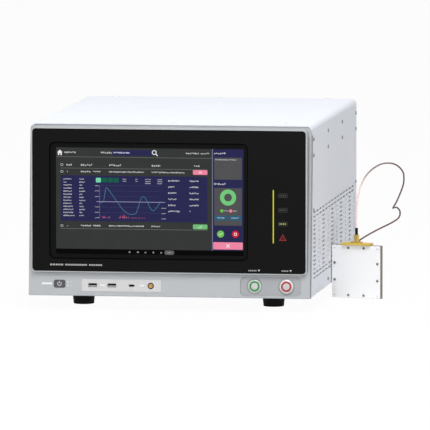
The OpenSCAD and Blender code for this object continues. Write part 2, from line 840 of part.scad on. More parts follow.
// Square frame with a motor seat on four struts and the rotor's pin
module fan_frame() color([0.1, 0.1, 0.1]) at_fan() {
  seat_front = rear_y - 5;
  difference() {
    slab_y(fan_front, rear_y) round_rect(fan_size, fan_size, 4);
    rod_y(fan_bore_r, 0, far);
    at_fan_holes() rod_y(2.2, 0, far);
  }
  rod_y(fan_hub_r, seat_front, rear_y - 1);
  for (a = [45 : 90 : 315]) {
    rotate([0, a, 0]) box([fan_hub_r - 1, seat_front + 1, -2], [fan_bore_r + 0.5, rear_y - 1, 2]);
  }
  rod_y(fan_pin_r, fan_front + 6, seat_front);
}

// Hub with seven pitched blades
module fan_rotor() color([0.14, 0.14, 0.15]) at_fan() {
  hub_front = fan_front + 4;
  hub_back = rear_y - 5.3;
  difference() {
    rod_y(fan_hub_r, hub_front, hub_back);
    rod_y(fan_pin_r + shaft_gap, fan_front + 5.5, far);
  }
  intersection() {
    for (i = [0 : 6]) {
      rotate([0, i * 360 / 7, 0]) translate([0, (hub_front + hub_back) / 2, 0]) rotate([38, 0, 0])
        box([fan_hub_r - 1, -0.8, -12], [blade_tip_r + 2, 0.8, 12]);
    }
    rod_y(blade_tip_r, hub_front + 0.5, hub_back - 0.5);
  }
}

// Wire guard: four rings on two crossing wires, with an eye at each screw
module fan_guard() color([0.8, 0.81, 0.83]) at_fan() {
  wire_r = 0.9;
  wire_l = 2 * (fan_hole * sqrt(2) - eye_r + 0.2);
  for (r = [12, 22, 32, 42]) {
    translate([0, rear_face_y + 2.6, 0]) rotate([-90, 0, 0]) rotate_extrude() translate([r, 0]) circle(wire_r, $fn = 16);
  }
  difference() {
    union() {
      for (a = [45, 135]) {
        rotate([0, a, 0]) translate([-wire_l / 2, rear_face_y + 1.3, 0]) rotate([0, 90, 0])
          cylinder(r = wire_r, h = wire_l, $fn = 16);
      }
      at_fan_holes() rod_y(eye_r, rear_face_y, rear_face_y + eye_t);
    }
    at_fan_holes() rod_y(2.2, 0, far);
  }
}

module fan_screws() color([0.6, 0.62, 0.66]) at_fan() at_fan_holes() {
  rod_y(2, rear_y - 8, rear_face_y + eye_t);
  rod_y(3.6, rear_face_y + eye_t, rear_face_y + eye_t + 2.2);
}

// Inlet housing: flange, plug well with two cut corners, fuse channel and rocker well
module mains_inlet() color([0.09, 0.09, 0.1]) in_frame() {
  difference() {
    translate([inlet_mid_x, 0, inlet_mid_z]) {
      slab_y(rear_face_y, inlet_face) round_rect(inlet_w + 20, inlet_hh + 4, 3);
      slab_y(rear_y - 28, rear_face_y) square([inlet_w, inlet_hh], center = true);
    }
    translate([inlet_mid_x, 0, plug_z]) slab_y(inlet_face - plug_depth, far) plug_outline(plug_w, plug_hh);
    translate([inlet_mid_x, 0, fuse_z]) slab_y(rear_y - 23, far) square([fuse_w + loose, fuse_hh + loose], center = true);
    translate([inlet_mid_x, 0, rocker_z]) {
      slab_y(rocker_y - 11, far) square([2 * rocker_r + 0.8, rocker_w + 0.6], center = true);
      translate([0, rocker_y, -rocker_w / 2 - 1.4]) cylinder(r = 1.2 + shaft_gap, h = rocker_w + 2.8);
    }
  }
}

module plug_outline(w, h) {
  cut = 4.5;
  polygon([
    [-w / 2, -h / 2], [w / 2, -h / 2], [w / 2, h / 2 - cut], [w / 2 - cut, h / 2],
    [-w / 2 + cut, h / 2], [-w / 2, h / 2 - cut]
  ]);
}

module inlet_pins() color([0.75, 0.75, 0.72]) in_frame() {
  for (p = [[-7, -2], [0, 2], [7, -2]]) {
    translate([inlet_mid_x + p[0], 0, plug_z + p[1]])
      slab_y(inlet_face - plug_depth, inlet_face - 3.5) square([2, 4], center = true);
  }
}

// Rocker with a shallow valley across its face, resting with its outer end down
module mains_rocker() color([0.12, 0.12, 0.13]) in_frame() {
  translate([inlet_mid_x, rocker_y, rocker_z]) rotate([0, 0, -rocker_tilt / 2]) {
    translate([0, 0, -rocker_w / 2]) linear_extrude(rocker_w) intersection() {
      polygon([
        [-11, 7], [0, 4.8], [11, 7], [11, 1], [4, -2], [-4, -2], [-11, 1]
      ]);
      circle(rocker_r);
    }
    translate([0, 0, -rocker_w / 2 - 1.2]) cylinder(r = 1.2, h = rocker_w + 2.4);
  }
}

module fuse_drawer() color([0.16, 0.16, 0.17]) in_frame() translate([inlet_mid_x, 0, fuse_z]) {
  difference() {
    slab_y(rear_y - 22.5, inlet_face + 0.7) square([fuse_w, fuse_hh], center = true);
    translate([0, 0, fuse_hh / 2]) slab_y(inlet_face - 1, far) square([8, 3], center = true);
    slab_y(rear_y - 20, rear_y - 2) translate([0, 1.6]) square([fuse_w - 4, fuse_hh], center = true);
  }
}

// Protective earth stud on a hexagonal base, with a knurled nut
module earth_post() color([0.8, 0.66, 0.35]) in_frame() translate([post_x, 0, post_z]) {
  translate([0, rear_face_y, 0]) rotate([-90, 0, 0]) cylinder(r = 6.5, h = 4, $fn = 6);
  rod_y(stud_r + 1, rear_y - 5, rear_face_y);
  rod_y(stud_r - 0.4, rear_face_y + 4, rear_face_y + 11);
  rod_y(stud_r, rear_face_y + 11, rear_face_y + 24);
}

module earth_nut() color([0.78, 0.64, 0.33]) in_frame() translate([post_x, 0, post_z]) {
  difference() {
    translate([0, rear_face_y + 4, 0]) rotate([-90, 0, 0]) linear_extrude(7) difference() {
      circle(7);
      for (a = [0 : 20 : 340]) {
        rotate(a) translate([7.2, 0]) circle(0.6, $fn = 16);
      }
    }
    rod_y(stud_r, 0, far);
  }
}

// Ribbed insulating bushing with a 4 mm socket in its end
module terminal(x) {
  in_frame() translate([x, 0, tray_z + terminal_h]) difference() {
    union() {
      rod_y(6, rear_y - 12, rear_face_y);
      rod_y(10, rear_face_y, rear_face_y + 4);
      rod_y(7, rear_face_y + 4, rear_face_y + terminal_l);
      for (i = [0 : 2]) {
        rod_y(9, rear_face_y + 8 + i * 7, rear_face_y + 11 + i * 7);
      }
    }
    rod_y(terminal_bore_r, rear_face_y + terminal_l - terminal_bore, far);
  }
}

module hv_terminal() color([0.7, 0.1, 0.1]) terminal(terminal_x[0]);
module return_terminal() color([0.1, 0.1, 0.11]) terminal(terminal_x[1]);

module lan_socket() color([0.7, 0.71, 0.73]) in_frame() translate([lan_x, 0, port_row_z]) {
  difference() {
    slab_y(rear_y - 18, rear_face_y + 0.6) square([16, 14], center = true);
    slab_y(rear_face_y - 12, far) union() {
      translate([0, 1]) square([11.8, 7.4], center = true);
      translate([0, -3.4]) square([6, 2.6], center = true);
    }
  }
}

module serial_connector() color([0.7, 0.71, 0.73]) in_frame() translate([serial_x, 0, port_row_z]) {
  difference() {
    union() {
      slab_y(rear_y - 12, rear_face_y) round_rect(20, 11, 2.9);
      slab_y(rear_face_y, rear_face_y + 1) round_rect(31, 13, 2);
      slab_y(rear_face_y + 1, rear_face_y + 6) round_rect(18, 9.4, 2.9);
    }
    for (i = [0 : 4]) {
      translate([-5.4 + i * 2.7, 0, 1.4]) rod_y(0.6, rear_face_y + 2, far);
    }
    for (i = [0 : 3]) {
      translate([-4.05 + i * 2.7, 0, -1.4]) rod_y(0.6, rear_face_y + 2, far);
    }
  }
}

// Coaxial jack along +z from its base: flange, hexagon or plate, then barrel and contact
module coax_barrel(flange) {
  difference() {
    union() {
      linear_extrude(flange_t) {
        if (flange == "plate") {
          round_rect(17.5, 12.7, 1);
        } else {
          circle(5.4, $fn = 6);
        }
      }
      cylinder(r = barrel_r, h = barrel_end);
    }
    translate([0, 0, barrel_end - 5]) cylinder(r = 2.3, h = 6);
  }
  translate([0, 0, barrel_end - 5]) cylinder(r = 0.6, h = 4);
}

// Coupling nut of a cable's plug, over the barrel
module plug_nut() {
  difference() {
    translate([0, 0, nut_start]) cylinder(r = 4.62, h = nut_end - nut_start, $fn = 6);
    cylinder(r = barrel_r + shaft_gap, h = barrel_end + 0.3);
  }
}

module plug_sleeve() {
  translate([0, 0, nut_end]) cylinder(r = sleeve_r, h = sleeve_end - nut_end);
}

// Places a child at both ends of the cable, along +z out of the jack
module at_sensor_jack() {
  on_sensor() translate([jack_u, jack_v, jack_base_z]) children();
}

module at_input_jack() {
  in_frame() translate([input_x, rear_face_y, tray_z + input_h]) rotate([-90, 0, 0]) children();
}

module sensor_input() color([0.83, 0.67, 0.3]) at_input_jack() {
  coax_barrel("hexagon");
  translate([0, 0, -plate_t - 12]) cylinder(r = barrel_r, h = plate_t + 12);
  translate([0, 0, -plate_t - 2.5]) cylinder(r = 5.4, h = 2.5, $fn = 6);
}

module sensor_jack() color([0.83, 0.67, 0.3]) at_sensor_jack() {
  coax_barrel("plate");
  for (s = [-1, 1]) {
    translate([s * 6.4, 0, flange_t]) cylinder(r = 1.4, h = 0.9, $fn = 24);
  }
}

module plug_nuts() color([0.83, 0.67, 0.3]) {
  at_sensor_jack() plug_nut();
  at_input_jack() plug_nut();
}

module plug_sleeves() color([0.08, 0.08, 0.08]) {
  at_sensor_jack() plug_sleeve();
  at_input_jack() plug_sleeve();
}

// Inner units on the tray
module power_supply() color([0.78, 0.79, 0.8]) in_frame() {
  low = [unit_gap - inner_x, rear_y - supply_back - supply_size[1], floor_z + supply_lift];
  high = low + supply_size;
  rib = supply_size[1] / 10;
  difference() {
    box(low, high);
    for (i = [0 : 9]) {
      translate([(low[0] + high[0]) / 2, low[1] + (i + 0.5) * rib, high[2]])
        cube([supply_size[0] * 0.7, rib / 3, 6], center = true);
    }
  }
  for (x = [low[0] + foot_in, high[0] - foot_in], y = [low[1] + foot_in, high[1] - foot_in]) {
    translate([x, y, floor_z]) cylinder(r = 4, h = supply_lift);
  }
}

// Laminated core with two windows, and its winding round the middle limb
module hv_transformer_core() color([0.35, 0.36, 0.38]) in_frame() {
  translate([0, core_y, floor_z]) difference() {
    box([-core_w / 2, 0, 0], [core_w / 2, core_t, core_h]);
    for (s = [-1, 1]) {
      scale_x(s) box([limb * 0.72, -1, limb], [core_w / 2 - limb, core_t + 1, core_h - limb]);
    }
  }
}

module hv_transformer_coil() color([0.75, 0.45, 0.2]) in_frame() {
  half = core_w / 2 - limb - close;
  translate([0, core_y, floor_z]) difference() {
    box([-half, -coil_out, limb + close], [half, core_t + coil_out, core_h - limb - close]);
    box([-limb * 0.72 - close, -close, 0], [limb * 0.72 + close, core_t + close, core_h]);
  }
}

// Potted block with two bushings on top
module hv_module() color([0.16, 0.17, 0.2]) in_frame() {
  low = [-potted_size[0] / 2, front_plate_y + potted_front, floor_z];
  box(low, low + potted_size);
  for (s = [-1, 1]) {
    translate([s * potted_size[0] * 0.32, low[1] + potted_size[1] / 2, low[2] + potted_size[2]])
      cylinder(r1 = bushing_r, r2 = bushing_r * 0.67, h = bushing_h);
  }
}

module main_board() color([0.1, 0.35, 0.2]) in_frame() translate([0, 0, floor_z]) {
  high = [inner_x - unit_gap, rear_y - fan_t - unit_gap, board_low[2] + board_t];
  box(board_low, high);
  for (x = [board_low[0] + foot_in, high[0] - foot_in],
       y = [board_low[1] + foot_in, (board_low[1] + high[1]) / 2, high[1] - foot_in]) {
    translate([x, y, 0]) cylinder(r = 3, h = board_low[2]);
  }
}

module receiver_shield() color([0.8, 0.81, 0.82]) in_frame() translate([0, 0, floor_z]) {
  low = [board_low[0] + unit_gap * 2, rear_y - shield_back, board_low[2] + board_t];
  box(low, low + shield_size);
}

module heat_sink() color([0.6, 0.61, 0.63]) in_frame() translate([0, 0, floor_z]) {
  low = [board_low[0] + unit_gap * 2, board_low[1] + board_low[2] * 4, board_low[2] + board_t];
  fins = 10;
  fin_gap = (sink_size[0] - fin_t) / (fins - 1);
  box(low, low + [sink_size[0], sink_size[1], fin_t * 2]);
  for (i = [0 : fins - 1]) {
    translate(low + [i * fin_gap, 0, fin_t]) cube([fin_t, sink_size[1], sink_size[2] - fin_t]);
  }
}

module at_sensor_screws() {
  edge = 4.4;
  inner = 0.36;
  for (u = [-1, -inner, inner, 1], v = [-1, -inner, inner, 1]) {
    if (abs(u) == 1 || abs(v) == 1) {
      translate([u * (sensor_w / 2 - edge), 0, sensor_h / 2 + v * (sensor_h / 2 - edge)]) children();
    }
  }
}

// Metal box of the sensor, which stands on the table
module sensor_body() color([0.62, 0.55, 0.35]) on_sensor() {
  translate([0, 0, sensor_h / 2]) slab_y(cover_t, cover_t + sensor_t) round_rect(sensor_w, sensor_h, 2);
}

module sensor_cover() color([0.95, 0.95, 0.95]) on_sensor() {
  difference() {
    translate([0, 0, sensor_h / 2]) slab_y(0, cover_t) round_rect(sensor_w, sensor_h - cover_gap, 2);
    at_sensor_screws() rod_y(1.1, -1, far);
  }
}

module sensor_screws() color([0.6, 0.58, 0.52]) on_sensor() at_sensor_screws() {
  turned_y() polygon([[0, -0.8], [1.2, -0.8], [1.8, -0.3], [1.8, 0], [1, 0], [1, cover_t], [0, cover_t]]);
}

module sensor_top_plate() color([0.85, 0.68, 0.3]) on_sensor() {
  box([-top_plate_w / 2, -4, sensor_h], [top_plate_w / 2, 14, sensor_h + top_plate_t]);
}

// Swept tube along the cable's route
function unit(v) = v / norm(v);
function spline(a, b, c, d, t) =
  0.5 * (2 * b + (c - a) * t + (2 * a - 5 * b + 4 * c - d) * t * t + (3 * b - a - 3 * c + d) * t * t * t);
function smooth(p) = let (n = len(p)) [
  for (i = [0 : n - 2])
    let (steps = ceil(norm(p[i + 1] - p[i]) / cable_step))
      for (k = [0 : steps - 1])
        spline(p[max(i - 1, 0)], p[i], p[i + 1], p[min(i + 2, n - 1)], k / steps),
  p[n - 1]
];
function tangents(p) = let (n = len(p)) [
  for (i = [0 : n - 1]) i == 0 ? unit(p[1] - p[0]) : i == n - 1 ? unit(p[i] - p[i - 1]) : unit(p[i + 1] - p[i - 1])
];
function normals(t, i = 0, last = [0, 1, 0]) =
  i == len(t) ? [] : let (n = unit(last - (last * t[i]) * t[i])) concat([n], normals(t, i + 1, n));

module sensor_cable() color([0.5, 0.38, 0.34]) in_frame() {
  line = smooth(cable_route);
  along = tangents(line);
  out = normals(along);
  rings = len(line);
  points = [
    for (i = [0 : rings - 1], k = [0 : cable_sides - 1])
      let (a = k * 360 / cable_sides, side = cross(along[i], out[i]))
        line[i] + cable_d / 2 * (cos(a) * out[i] + sin(a) * side)
  ];
  walls = [
    for (i = [0 : rings - 2], k = [0 : cable_sides - 1])
      let (m = (k + 1) % cable_sides)
        [i * cable_sides + k, (i + 1) * cable_sides + k, (i + 1) * cable_sides + m, i * cable_sides + m]
  ];
  ends = [
    [for (k = [0 : cable_sides - 1]) k],
    [for (k = [cable_sides - 1 : -1 : 0]) (rings - 1) * cable_sides + k]
  ];
  polyhedron(points, concat(walls, ends));
}

base_tray();
cover();
cover_screws();
feet();
front_plate();
rear_panel();
front_bezel();
fascia();
display_glass();
display_module();
display_bracket();
status_light();
status_light_board();
power_button();
power_switch();
power_light_pipes();
port_plate();
usb_a_sockets();
usb_c_socket();
signal_jack();
front_io_board();
button_pad();
start_bezel();
start_ring();
start_button();
start_switch();
stop_bezel();
stop_ring();
stop_button();
stop_switch();
fan_frame();
fan_rotor();
fan_guard();
fan_screws();
mains_inlet();
inlet_pins();
mains_rocker();
fuse_drawer();
earth_post();
earth_nut();
hv_terminal();
return_terminal();
lan_socket();
serial_connector();
sensor_input();
power_supply();
hv_transformer_core();
hv_transformer_coil();
hv_module();
main_board();
receiver_shield();
heat_sink();
sensor_body();
sensor_cover();
sensor_screws();
sensor_top_plate();
sensor_jack();
plug_nuts();
plug_sleeves();
sensor_cable();
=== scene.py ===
# Dresses a bench partial discharge tester and its sensor: camera, lead, finishes, screen and small fittings
import math
import random

import bmesh
import bpy
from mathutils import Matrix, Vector


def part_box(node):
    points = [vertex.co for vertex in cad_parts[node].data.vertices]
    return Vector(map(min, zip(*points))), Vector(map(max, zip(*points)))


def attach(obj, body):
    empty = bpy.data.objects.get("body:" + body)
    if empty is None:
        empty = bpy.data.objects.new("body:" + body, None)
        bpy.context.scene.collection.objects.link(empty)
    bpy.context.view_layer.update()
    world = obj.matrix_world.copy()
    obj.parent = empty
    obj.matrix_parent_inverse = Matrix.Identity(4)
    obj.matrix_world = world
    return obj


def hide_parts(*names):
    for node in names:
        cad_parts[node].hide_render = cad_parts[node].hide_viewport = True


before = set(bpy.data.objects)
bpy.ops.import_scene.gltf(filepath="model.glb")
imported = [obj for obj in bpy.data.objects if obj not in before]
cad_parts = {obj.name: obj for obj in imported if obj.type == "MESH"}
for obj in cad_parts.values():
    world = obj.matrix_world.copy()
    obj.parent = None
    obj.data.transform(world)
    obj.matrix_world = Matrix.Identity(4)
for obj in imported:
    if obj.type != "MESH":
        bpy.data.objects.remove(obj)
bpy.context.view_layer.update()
mainBody = "tester"
mm = 0.001
weldDistance = 0.01 * mm
inkThickness = 0.04  # of every printed mark, in millimetres


def nodeBox(node):
    low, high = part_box(node)
    return Vector(low), Vector(high)


# the tester's middle line, fascia plane, underside and size, found from the frame itself
coverLow, coverHigh = nodeBox("cover")
middleX = (coverLow.x + coverHigh.x) / 2
fasciaInset = 0.5 * mm  # the fascia's face lies this far behind the plane from which depths count
fasciaY = nodeBox("fascia")[0].y - fasciaInset
undersideZ = nodeBox("base_tray")[0].z
caseW = (coverHigh.x - coverLow.x) / mm
caseH = (coverHigh.z - undersideZ) / mm


def spot(x, y, z):
    # millimetres from the middle line, behind the fascia plane and above the table
    return Vector((middleX + x * mm, fasciaY + y * mm, z * mm))


def newObject(name, data):
    made = bpy.data.objects.new(name, data)
    bpy.context.scene.collection.objects.link(made)
    return made


def report(stage):
    print("tester scene:", stage)


# camera
cameraFit = {
    "turn": 8.129,  # degrees to the right of straight ahead
    "rise": 5.204,  # degrees above the table
    "focalPixels": 9100.0,
    "framePixels": 430,
    "distance": 13.7529,
    "aimX": 70.79,
    "aimZ": 125.7,  # above the case's underside
    "sensorWidth": 36.0,
    "clip": (1.0, 60.0),
}


def addCamera(fit):
    turn, rise = math.radians(fit["turn"]), math.radians(fit["rise"])
    ahead = Vector((-math.sin(turn) * math.cos(rise), math.cos(turn) * math.cos(rise), -math.sin(rise)))
    aim = spot(fit["aimX"], 0, undersideZ / mm + fit["aimZ"])
    data = bpy.data.cameras.new("photoCamera")
    data.sensor_width = fit["sensorWidth"]
    data.sensor_fit = "HORIZONTAL"
    data.lens = fit["focalPixels"] / fit["framePixels"] * fit["sensorWidth"]
    data.clip_start, data.clip_end = fit["clip"]
    camera = newObject("photoCamera", data)
    camera.location = aim - ahead * fit["distance"]
    camera.rotation_euler = ahead.to_track_quat("-Z", "Y").to_euler()
    bpy.context.scene.camera = camera


addCamera(cameraFit)
report("camera placed")


# colours and finishes
def tint(red, green, blue):
    # a screen colour from 0 to 255 as scene linear light
    def linear(value):
        share = value / 255
        return share / 12.92 if share <= 0.04045 else ((share + 0.055) / 1.055) ** 2.4

    return (linear(red), linear(green), linear(blue), 1.0)


def shade(colour, factor):
    return tuple(min(1.0, channel * factor) for channel in colour[:3]) + (1.0,)


def feed(tree, node, inputs):
    # each input gets a plain value or another node's output
    for key, value in inputs.items():
        if isinstance(value, bpy.types.NodeSocket):
            tree.links.new(value, node.inputs[key])
        else:
            node.inputs[key].default_value = value


def addNode(tree, kind, inputs=None, **settings):
    node = tree.nodes.new(kind)
    for key, value in settings.items():
        setattr(node, key, value)
    feed(tree, node, inputs or {})
    return node


def newFinish(name):
    material = bpy.data.materials.new(name)
    material.use_nodes = True
    tree = material.node_tree
    return material, tree, tree.nodes["Principled BSDF"]


def objectCoords(tree, stretch=(1, 1, 1)):
    coords = addNode(tree, "ShaderNodeTexCoord").outputs["Object"]
    return addNode(tree, "ShaderNodeMapping", {"Vector": coords, "Scale": stretch}).outputs["Vector"]


def noise(tree, vector, scale, detail=2.0):
    node = addNode(tree, "ShaderNodeTexNoise", {"Vector": vector, "Scale": scale, "Detail": detail})
    return node.outputs["Fac"]


def ramp(tree, factor, stops):
    node = addNode(tree, "ShaderNodeValToRGB", {"Fac": factor})
    elements = node.color_ramp.elements
    while len(elements) < len(stops):
        elements.new(0.5)
    for element, (place, colour) in zip(elements, stops):
        element.position = place
        element.color = colour
    return node.outputs["Color"]


def mottled(tree, factor, colour, vary):
    # the colour, a little darker in some patches and lighter in others
    return ramp(tree, factor, [(0.3, shade(colour, 1 - vary)), (0.7, shade(colour, 1 + vary))])


def remap(tree, factor, low, high):
    node = addNode(tree, "ShaderNodeMapRange", {"Value": factor, "To Min": low, "To Max": high})
    return node.outputs["Result"]


def bump(tree, shader, height, strength, distance):
    node = addNode(tree, "ShaderNodeBump", {"Height": height, "Strength": strength, "Distance": distance})
    tree.links.new(node.outputs["Normal"], shader.inputs["Normal"])


surface = {
    "grainDetail": 3.0, "patchScale": 14, "glossRange": 0.06, "bumpDistance": 0.0004, "coatRoughness": 0.12,
    "pixelPatchScale": 60, "pixelVary": 0.03, "pixelRoughness": 0.2, "pixelSpecular": 0.04,
}


def coated(name, colour, roughness, grain, depth, vary, metallic=0.0, specular=0.5, coat=0.0,
           stretch=(1, 1, 1)):
    # paint, plastic or metal with a fine grain, a slight change of colour and uneven gloss
    material, tree, shader = newFinish(name)
    vector = objectCoords(tree, stretch)
    fine = noise(tree, vector, grain, surface["grainDetail"])
    broad = noise(tree, vector, surface["patchScale"])
    feed(tree, shader, {
        "Base Color": mottled(tree, broad, colour, vary),
        "Roughness": remap(tree, fine, roughness - surface["glossRange"], roughness + surface["glossRange"]),
        "Metallic": metallic, "Specular IOR Level": specular, "Coat Weight": coat,
        "Coat Roughness": surface["coatRoughness"]})
    bump(tree, shader, fine, depth, surface["bumpDistance"])
    return material


def lit(name, colour, strength=1.0):
    # a lit pixel, lens or mark: light of its own screen colour under a faint gloss; on printed marks this
    # glow is painted light
    material, tree, shader = newFinish(name)
    faint = noise(tree, objectCoords(tree), surface["pixelPatchScale"], 1.0)
    feed(tree, shader, {
        "Emission Color": mottled(tree, faint, tint(*colour), surface["pixelVary"]),
        "Emission Strength": strength, "Base Color": (0.0, 0.0, 0.0, 1.0),
        "Roughness": surface["pixelRoughness"], "Specular IOR Level": surface["pixelSpecular"]})
    return material


# finish: colour, roughness, grain, bump, change of colour, then what differs from plain paint
paints = {
    "whiteSheet": ((0.79, 0.815, 0.875), 0.55, 1400, 0.05, 0.012, {"specular": 0.4}),
    "silverPaint": ((0.40, 0.415, 0.43), 0.55, 1600, 0.06, 0.02, {"specular": 0.25}),
    "padPaint": ((0.33, 0.343, 0.357), 0.55, 1600, 0.06, 0.02, {"specular": 0.25}),
    "zincSheet": ((0.45, 0.46, 0.48), 0.4, 700, 0.05, 0.08, {"metallic": 0.8}),
    "screwMetal": ((0.42, 0.43, 0.45), 0.35, 900, 0.05, 0.06, {"metallic": 0.8}),
    # near-black painted shade for the screws' cross recesses
    "recessShade": ((0.03, 0.03, 0.035), 0.6, 900, 0.05, 0.06),
    "fasciaBlack": ((0.0042, 0.0042, 0.0042), 0.4, 500, 0.02, 0.05, {"specular": 0.055}),
    "glassBlack": ((0.0058, 0.0058, 0.0058), 0.16, 300, 0.0, 0.03, {"specular": 0.03}),
    # near-black painted shade for the ring round the screen window
    "windowShadeBlack": ((0.0005, 0.0005, 0.0005), 0.8, 900, 0.1, 0.1, {"specular": 0.02}),
    "panelGrey": ((0.35, 0.36, 0.38), 0.5, 500, 0.05, 0.05),
    "footRubber": ((0.006, 0.006, 0.0055), 0.75, 1200, 0.3, 0.15, {"specular": 0.12}),
    "mouldedBlack": ((0.015, 0.015, 0.016), 0.5, 1300, 0.15, 0.1, {"specular": 0.35}),
    "powerCap": ((0.052, 0.05, 0.06), 0.45, 1300, 0.1, 0.06),
    "portPlate": ((0.53, 0.53, 0.535), 0.5, 1500, 0.04, 0.015, {"specular": 0.3}),
    "socketSteel": ((0.55, 0.55, 0.57), 0.3, 900, 0.05, 0.06, {"metallic": 1.0}),
    "capGrey": ((0.48, 0.46, 0.465), 0.4, 1500, 0.04, 0.02),
    "bezelWhite": ((0.72, 0.72, 0.72), 0.3, 1500, 0.02, 0.015),
    "collarGrey": ((0.28, 0.285, 0.30), 0.2, 1500, 0.01, 0.02, {"specular": 0.5}),
    "collarWhite": ((0.64, 0.645, 0.645), 0.2, 1500, 0.01, 0.02, {"specular": 0.5}),
    # a dark grey for grooves and joints, painted as their shade
    "grooveShadeGrey": ((0.20, 0.20, 0.215), 0.6, 900, 0.05, 0.05, {"specular": 0.2}),
    # a darker copy of the silver paint, as painted shade on the frame's side bands and lower edge
    "shadedFrameSilver": ((0.27, 0.28, 0.32), 0.55, 1600, 0.06, 0.02, {"specular": 0.2}),
    "jackCore": ((0.40, 0.19, 0.05), 0.4, 900, 0.05, 0.1),
    "shellSteel": ((0.40, 0.40, 0.41), 0.4, 900, 0.05, 0.06, {"metallic": 0.3}),
    "printPure": ((0.80, 0.80, 0.80), 0.5, 900, 0.03, 0.02, {"specular": 0.3}),
    "goldPlate": ((0.66, 0.45, 0.12), 0.3, 900, 0.06, 0.1, {"metallic": 0.85}),
    "jackGold": ((0.50, 0.33, 0.10), 0.35, 900, 0.06, 0.1, {"metallic": 0.6}),
    "seamRubber": ((0.05, 0.055, 0.07), 0.7, 900, 0.1, 0.1, {"specular": 0.2}),
    # dark grey sheet behind the vents, partly painted shade of the case's inside
    "dustScreenShade": ((0.15, 0.155, 0.165), 0.6, 2600, 0.5, 0.2, {"specular": 0.2}),
    "socketDark": ((0.004, 0.004, 0.004), 0.6, 900, 0.1, 0.1, {"specular": 0.1}),
    "tongueGrey": ((0.26, 0.26, 0.26), 0.5, 900, 0.05, 0.05),
    "printWhite": ((0.66, 0.66, 0.67), 0.5, 900, 0.03, 0.02, {"specular": 0.3}),
    "printDark": ((0.035, 0.035, 0.04), 0.55, 900, 0.03, 0.05, {"specular": 0.3}),
    "sensorScrew": ((0.24, 0.235, 0.21), 0.4, 900, 0.05, 0.1, {"metallic": 0.4}),
    "paleScrew": ((0.72, 0.72, 0.72), 0.4, 900, 0.05, 0.03),
    "ledGreen": ((0.06, 0.30, 0.08), 0.2, 900, 0.02, 0.03, {"coat": 0.5}),
    "ledAmber": ((0.50, 0.25, 0.03), 0.2, 900, 0.02, 0.03, {"coat": 0.5}),
    "chipBlack": ((0.018, 0.018, 0.02), 0.55, 700, 0.1, 0.2),
    "canSleeve": ((0.03, 0.045, 0.09), 0.35, 600, 0.03, 0.2, {"coat": 0.3}),
    "boardGreen": ((0.015, 0.11, 0.045), 0.35, 500, 0.05, 0.1),
    "terminalRed": ((0.36, 0.012, 0.012), 0.3, 900, 0.04, 0.05),
    "coreSteel": ((0.10, 0.10, 0.11), 0.5, 120, 0.2, 0.2, {"metallic": 0.6, "stretch": (1, 60, 1)}),
    "windingCopper": ((0.42, 0.16, 0.05), 0.35, 200, 0.3, 0.2, {"metallic": 0.7, "stretch": (1, 1, 30)}),
    "pottedResin": ((0.02, 0.022, 0.03), 0.3, 300, 0.05, 0.2),
    "bareAluminium": ((0.60, 0.61, 0.62), 0.35, 700, 0.05, 0.05, {"metallic": 1.0}),
    "sensorBox": ((0.21, 0.19, 0.15), 0.5, 900, 0.06, 0.1, {"metallic": 0.2, "specular": 0.3}),
    "sensorFace": ((0.84, 0.84, 0.845), 0.5, 1400, 0.04, 0.01, {"specular": 0.4}),
    "plateGold": ((0.70, 0.50, 0.09), 0.4, 900, 0.06, 0.06, {"metallic": 0.3}),
    "sleeveBlack": ((0.003, 0.003, 0.003), 0.6, 900, 0.1, 0.1, {"specular": 0.1}),
    "screwDark": ((0.22, 0.225, 0.245), 0.45, 900, 0.05, 0.06, {"metallic": 0.4}),
    "ringGreen": ((0.018, 0.225, 0.045), 0.3, 900, 0.02, 0.04),
    "ringRed": ((0.35, 0.016, 0.02), 0.3, 900, 0.02, 0.04),
}

finishes = {"statusYellow": lit("statusYellow", (214, 212, 72))}
for name, facts in paints.items():
    special = facts[5] if len(facts) > 5 else {}
    finishes[name] = coated(name, *facts[:5], **special)

nodeFinish = {
    # finish: the frame's nodes that wear it
    "whiteSheet": "cover rear_panel",
    "zincSheet": "base_tray front_plate display_bracket",
    "screwMetal": "cover_screws fan_screws",
    "sensorScrew": "sensor_screws",
    "footRubber": "feet",
    "silverPaint": "front_bezel",
    "padPaint": "button_pad",
    "fasciaBlack": "fascia status_light",
    "glassBlack": "display_glass",
    "panelGrey": "display_module",
    "boardGreen": "status_light_board front_io_board main_board",
    "powerCap": "power_button",
    "mouldedBlack": "power_switch start_switch stop_switch fan_frame fan_rotor mains_inlet mains_rocker "
                    "fuse_drawer return_terminal",
    "bezelWhite": "power_light_pipes",
    "portPlate": "port_plate",
    "shellSteel": "usb_a_sockets usb_c_socket lan_socket serial_connector",
    "jackGold": "signal_jack",
    "collarWhite": "start_bezel stop_bezel",
    "ringGreen": "start_ring",
    "capGrey": "start_button stop_button",
    "ringRed": "stop_ring",
    "socketSteel": "fan_guard inlet_pins receiver_shield",
    "goldPlate": "earth_post earth_nut sensor_input sensor_jack plug_nuts",
    "terminalRed": "hv_terminal",
    "bareAluminium": "power_supply heat_sink",
    "coreSteel": "hv_transformer_core",
    "windingCopper": "hv_transformer_coil",
    "pottedResin": "hv_module",
    "sensorBox": "sensor_body",
    "sensorFace": "sensor_cover",
    "plateGold": "sensor_top_plate",
    "sleeveBlack": "plug_sleeves",
}

for finishName, nodeNames in nodeFinish.items():
    for nodeName in nodeNames.split():
        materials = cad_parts[nodeName].data.materials
        materials.clear()
        materials.append(finishes[finishName])
report("finishes on the frame")


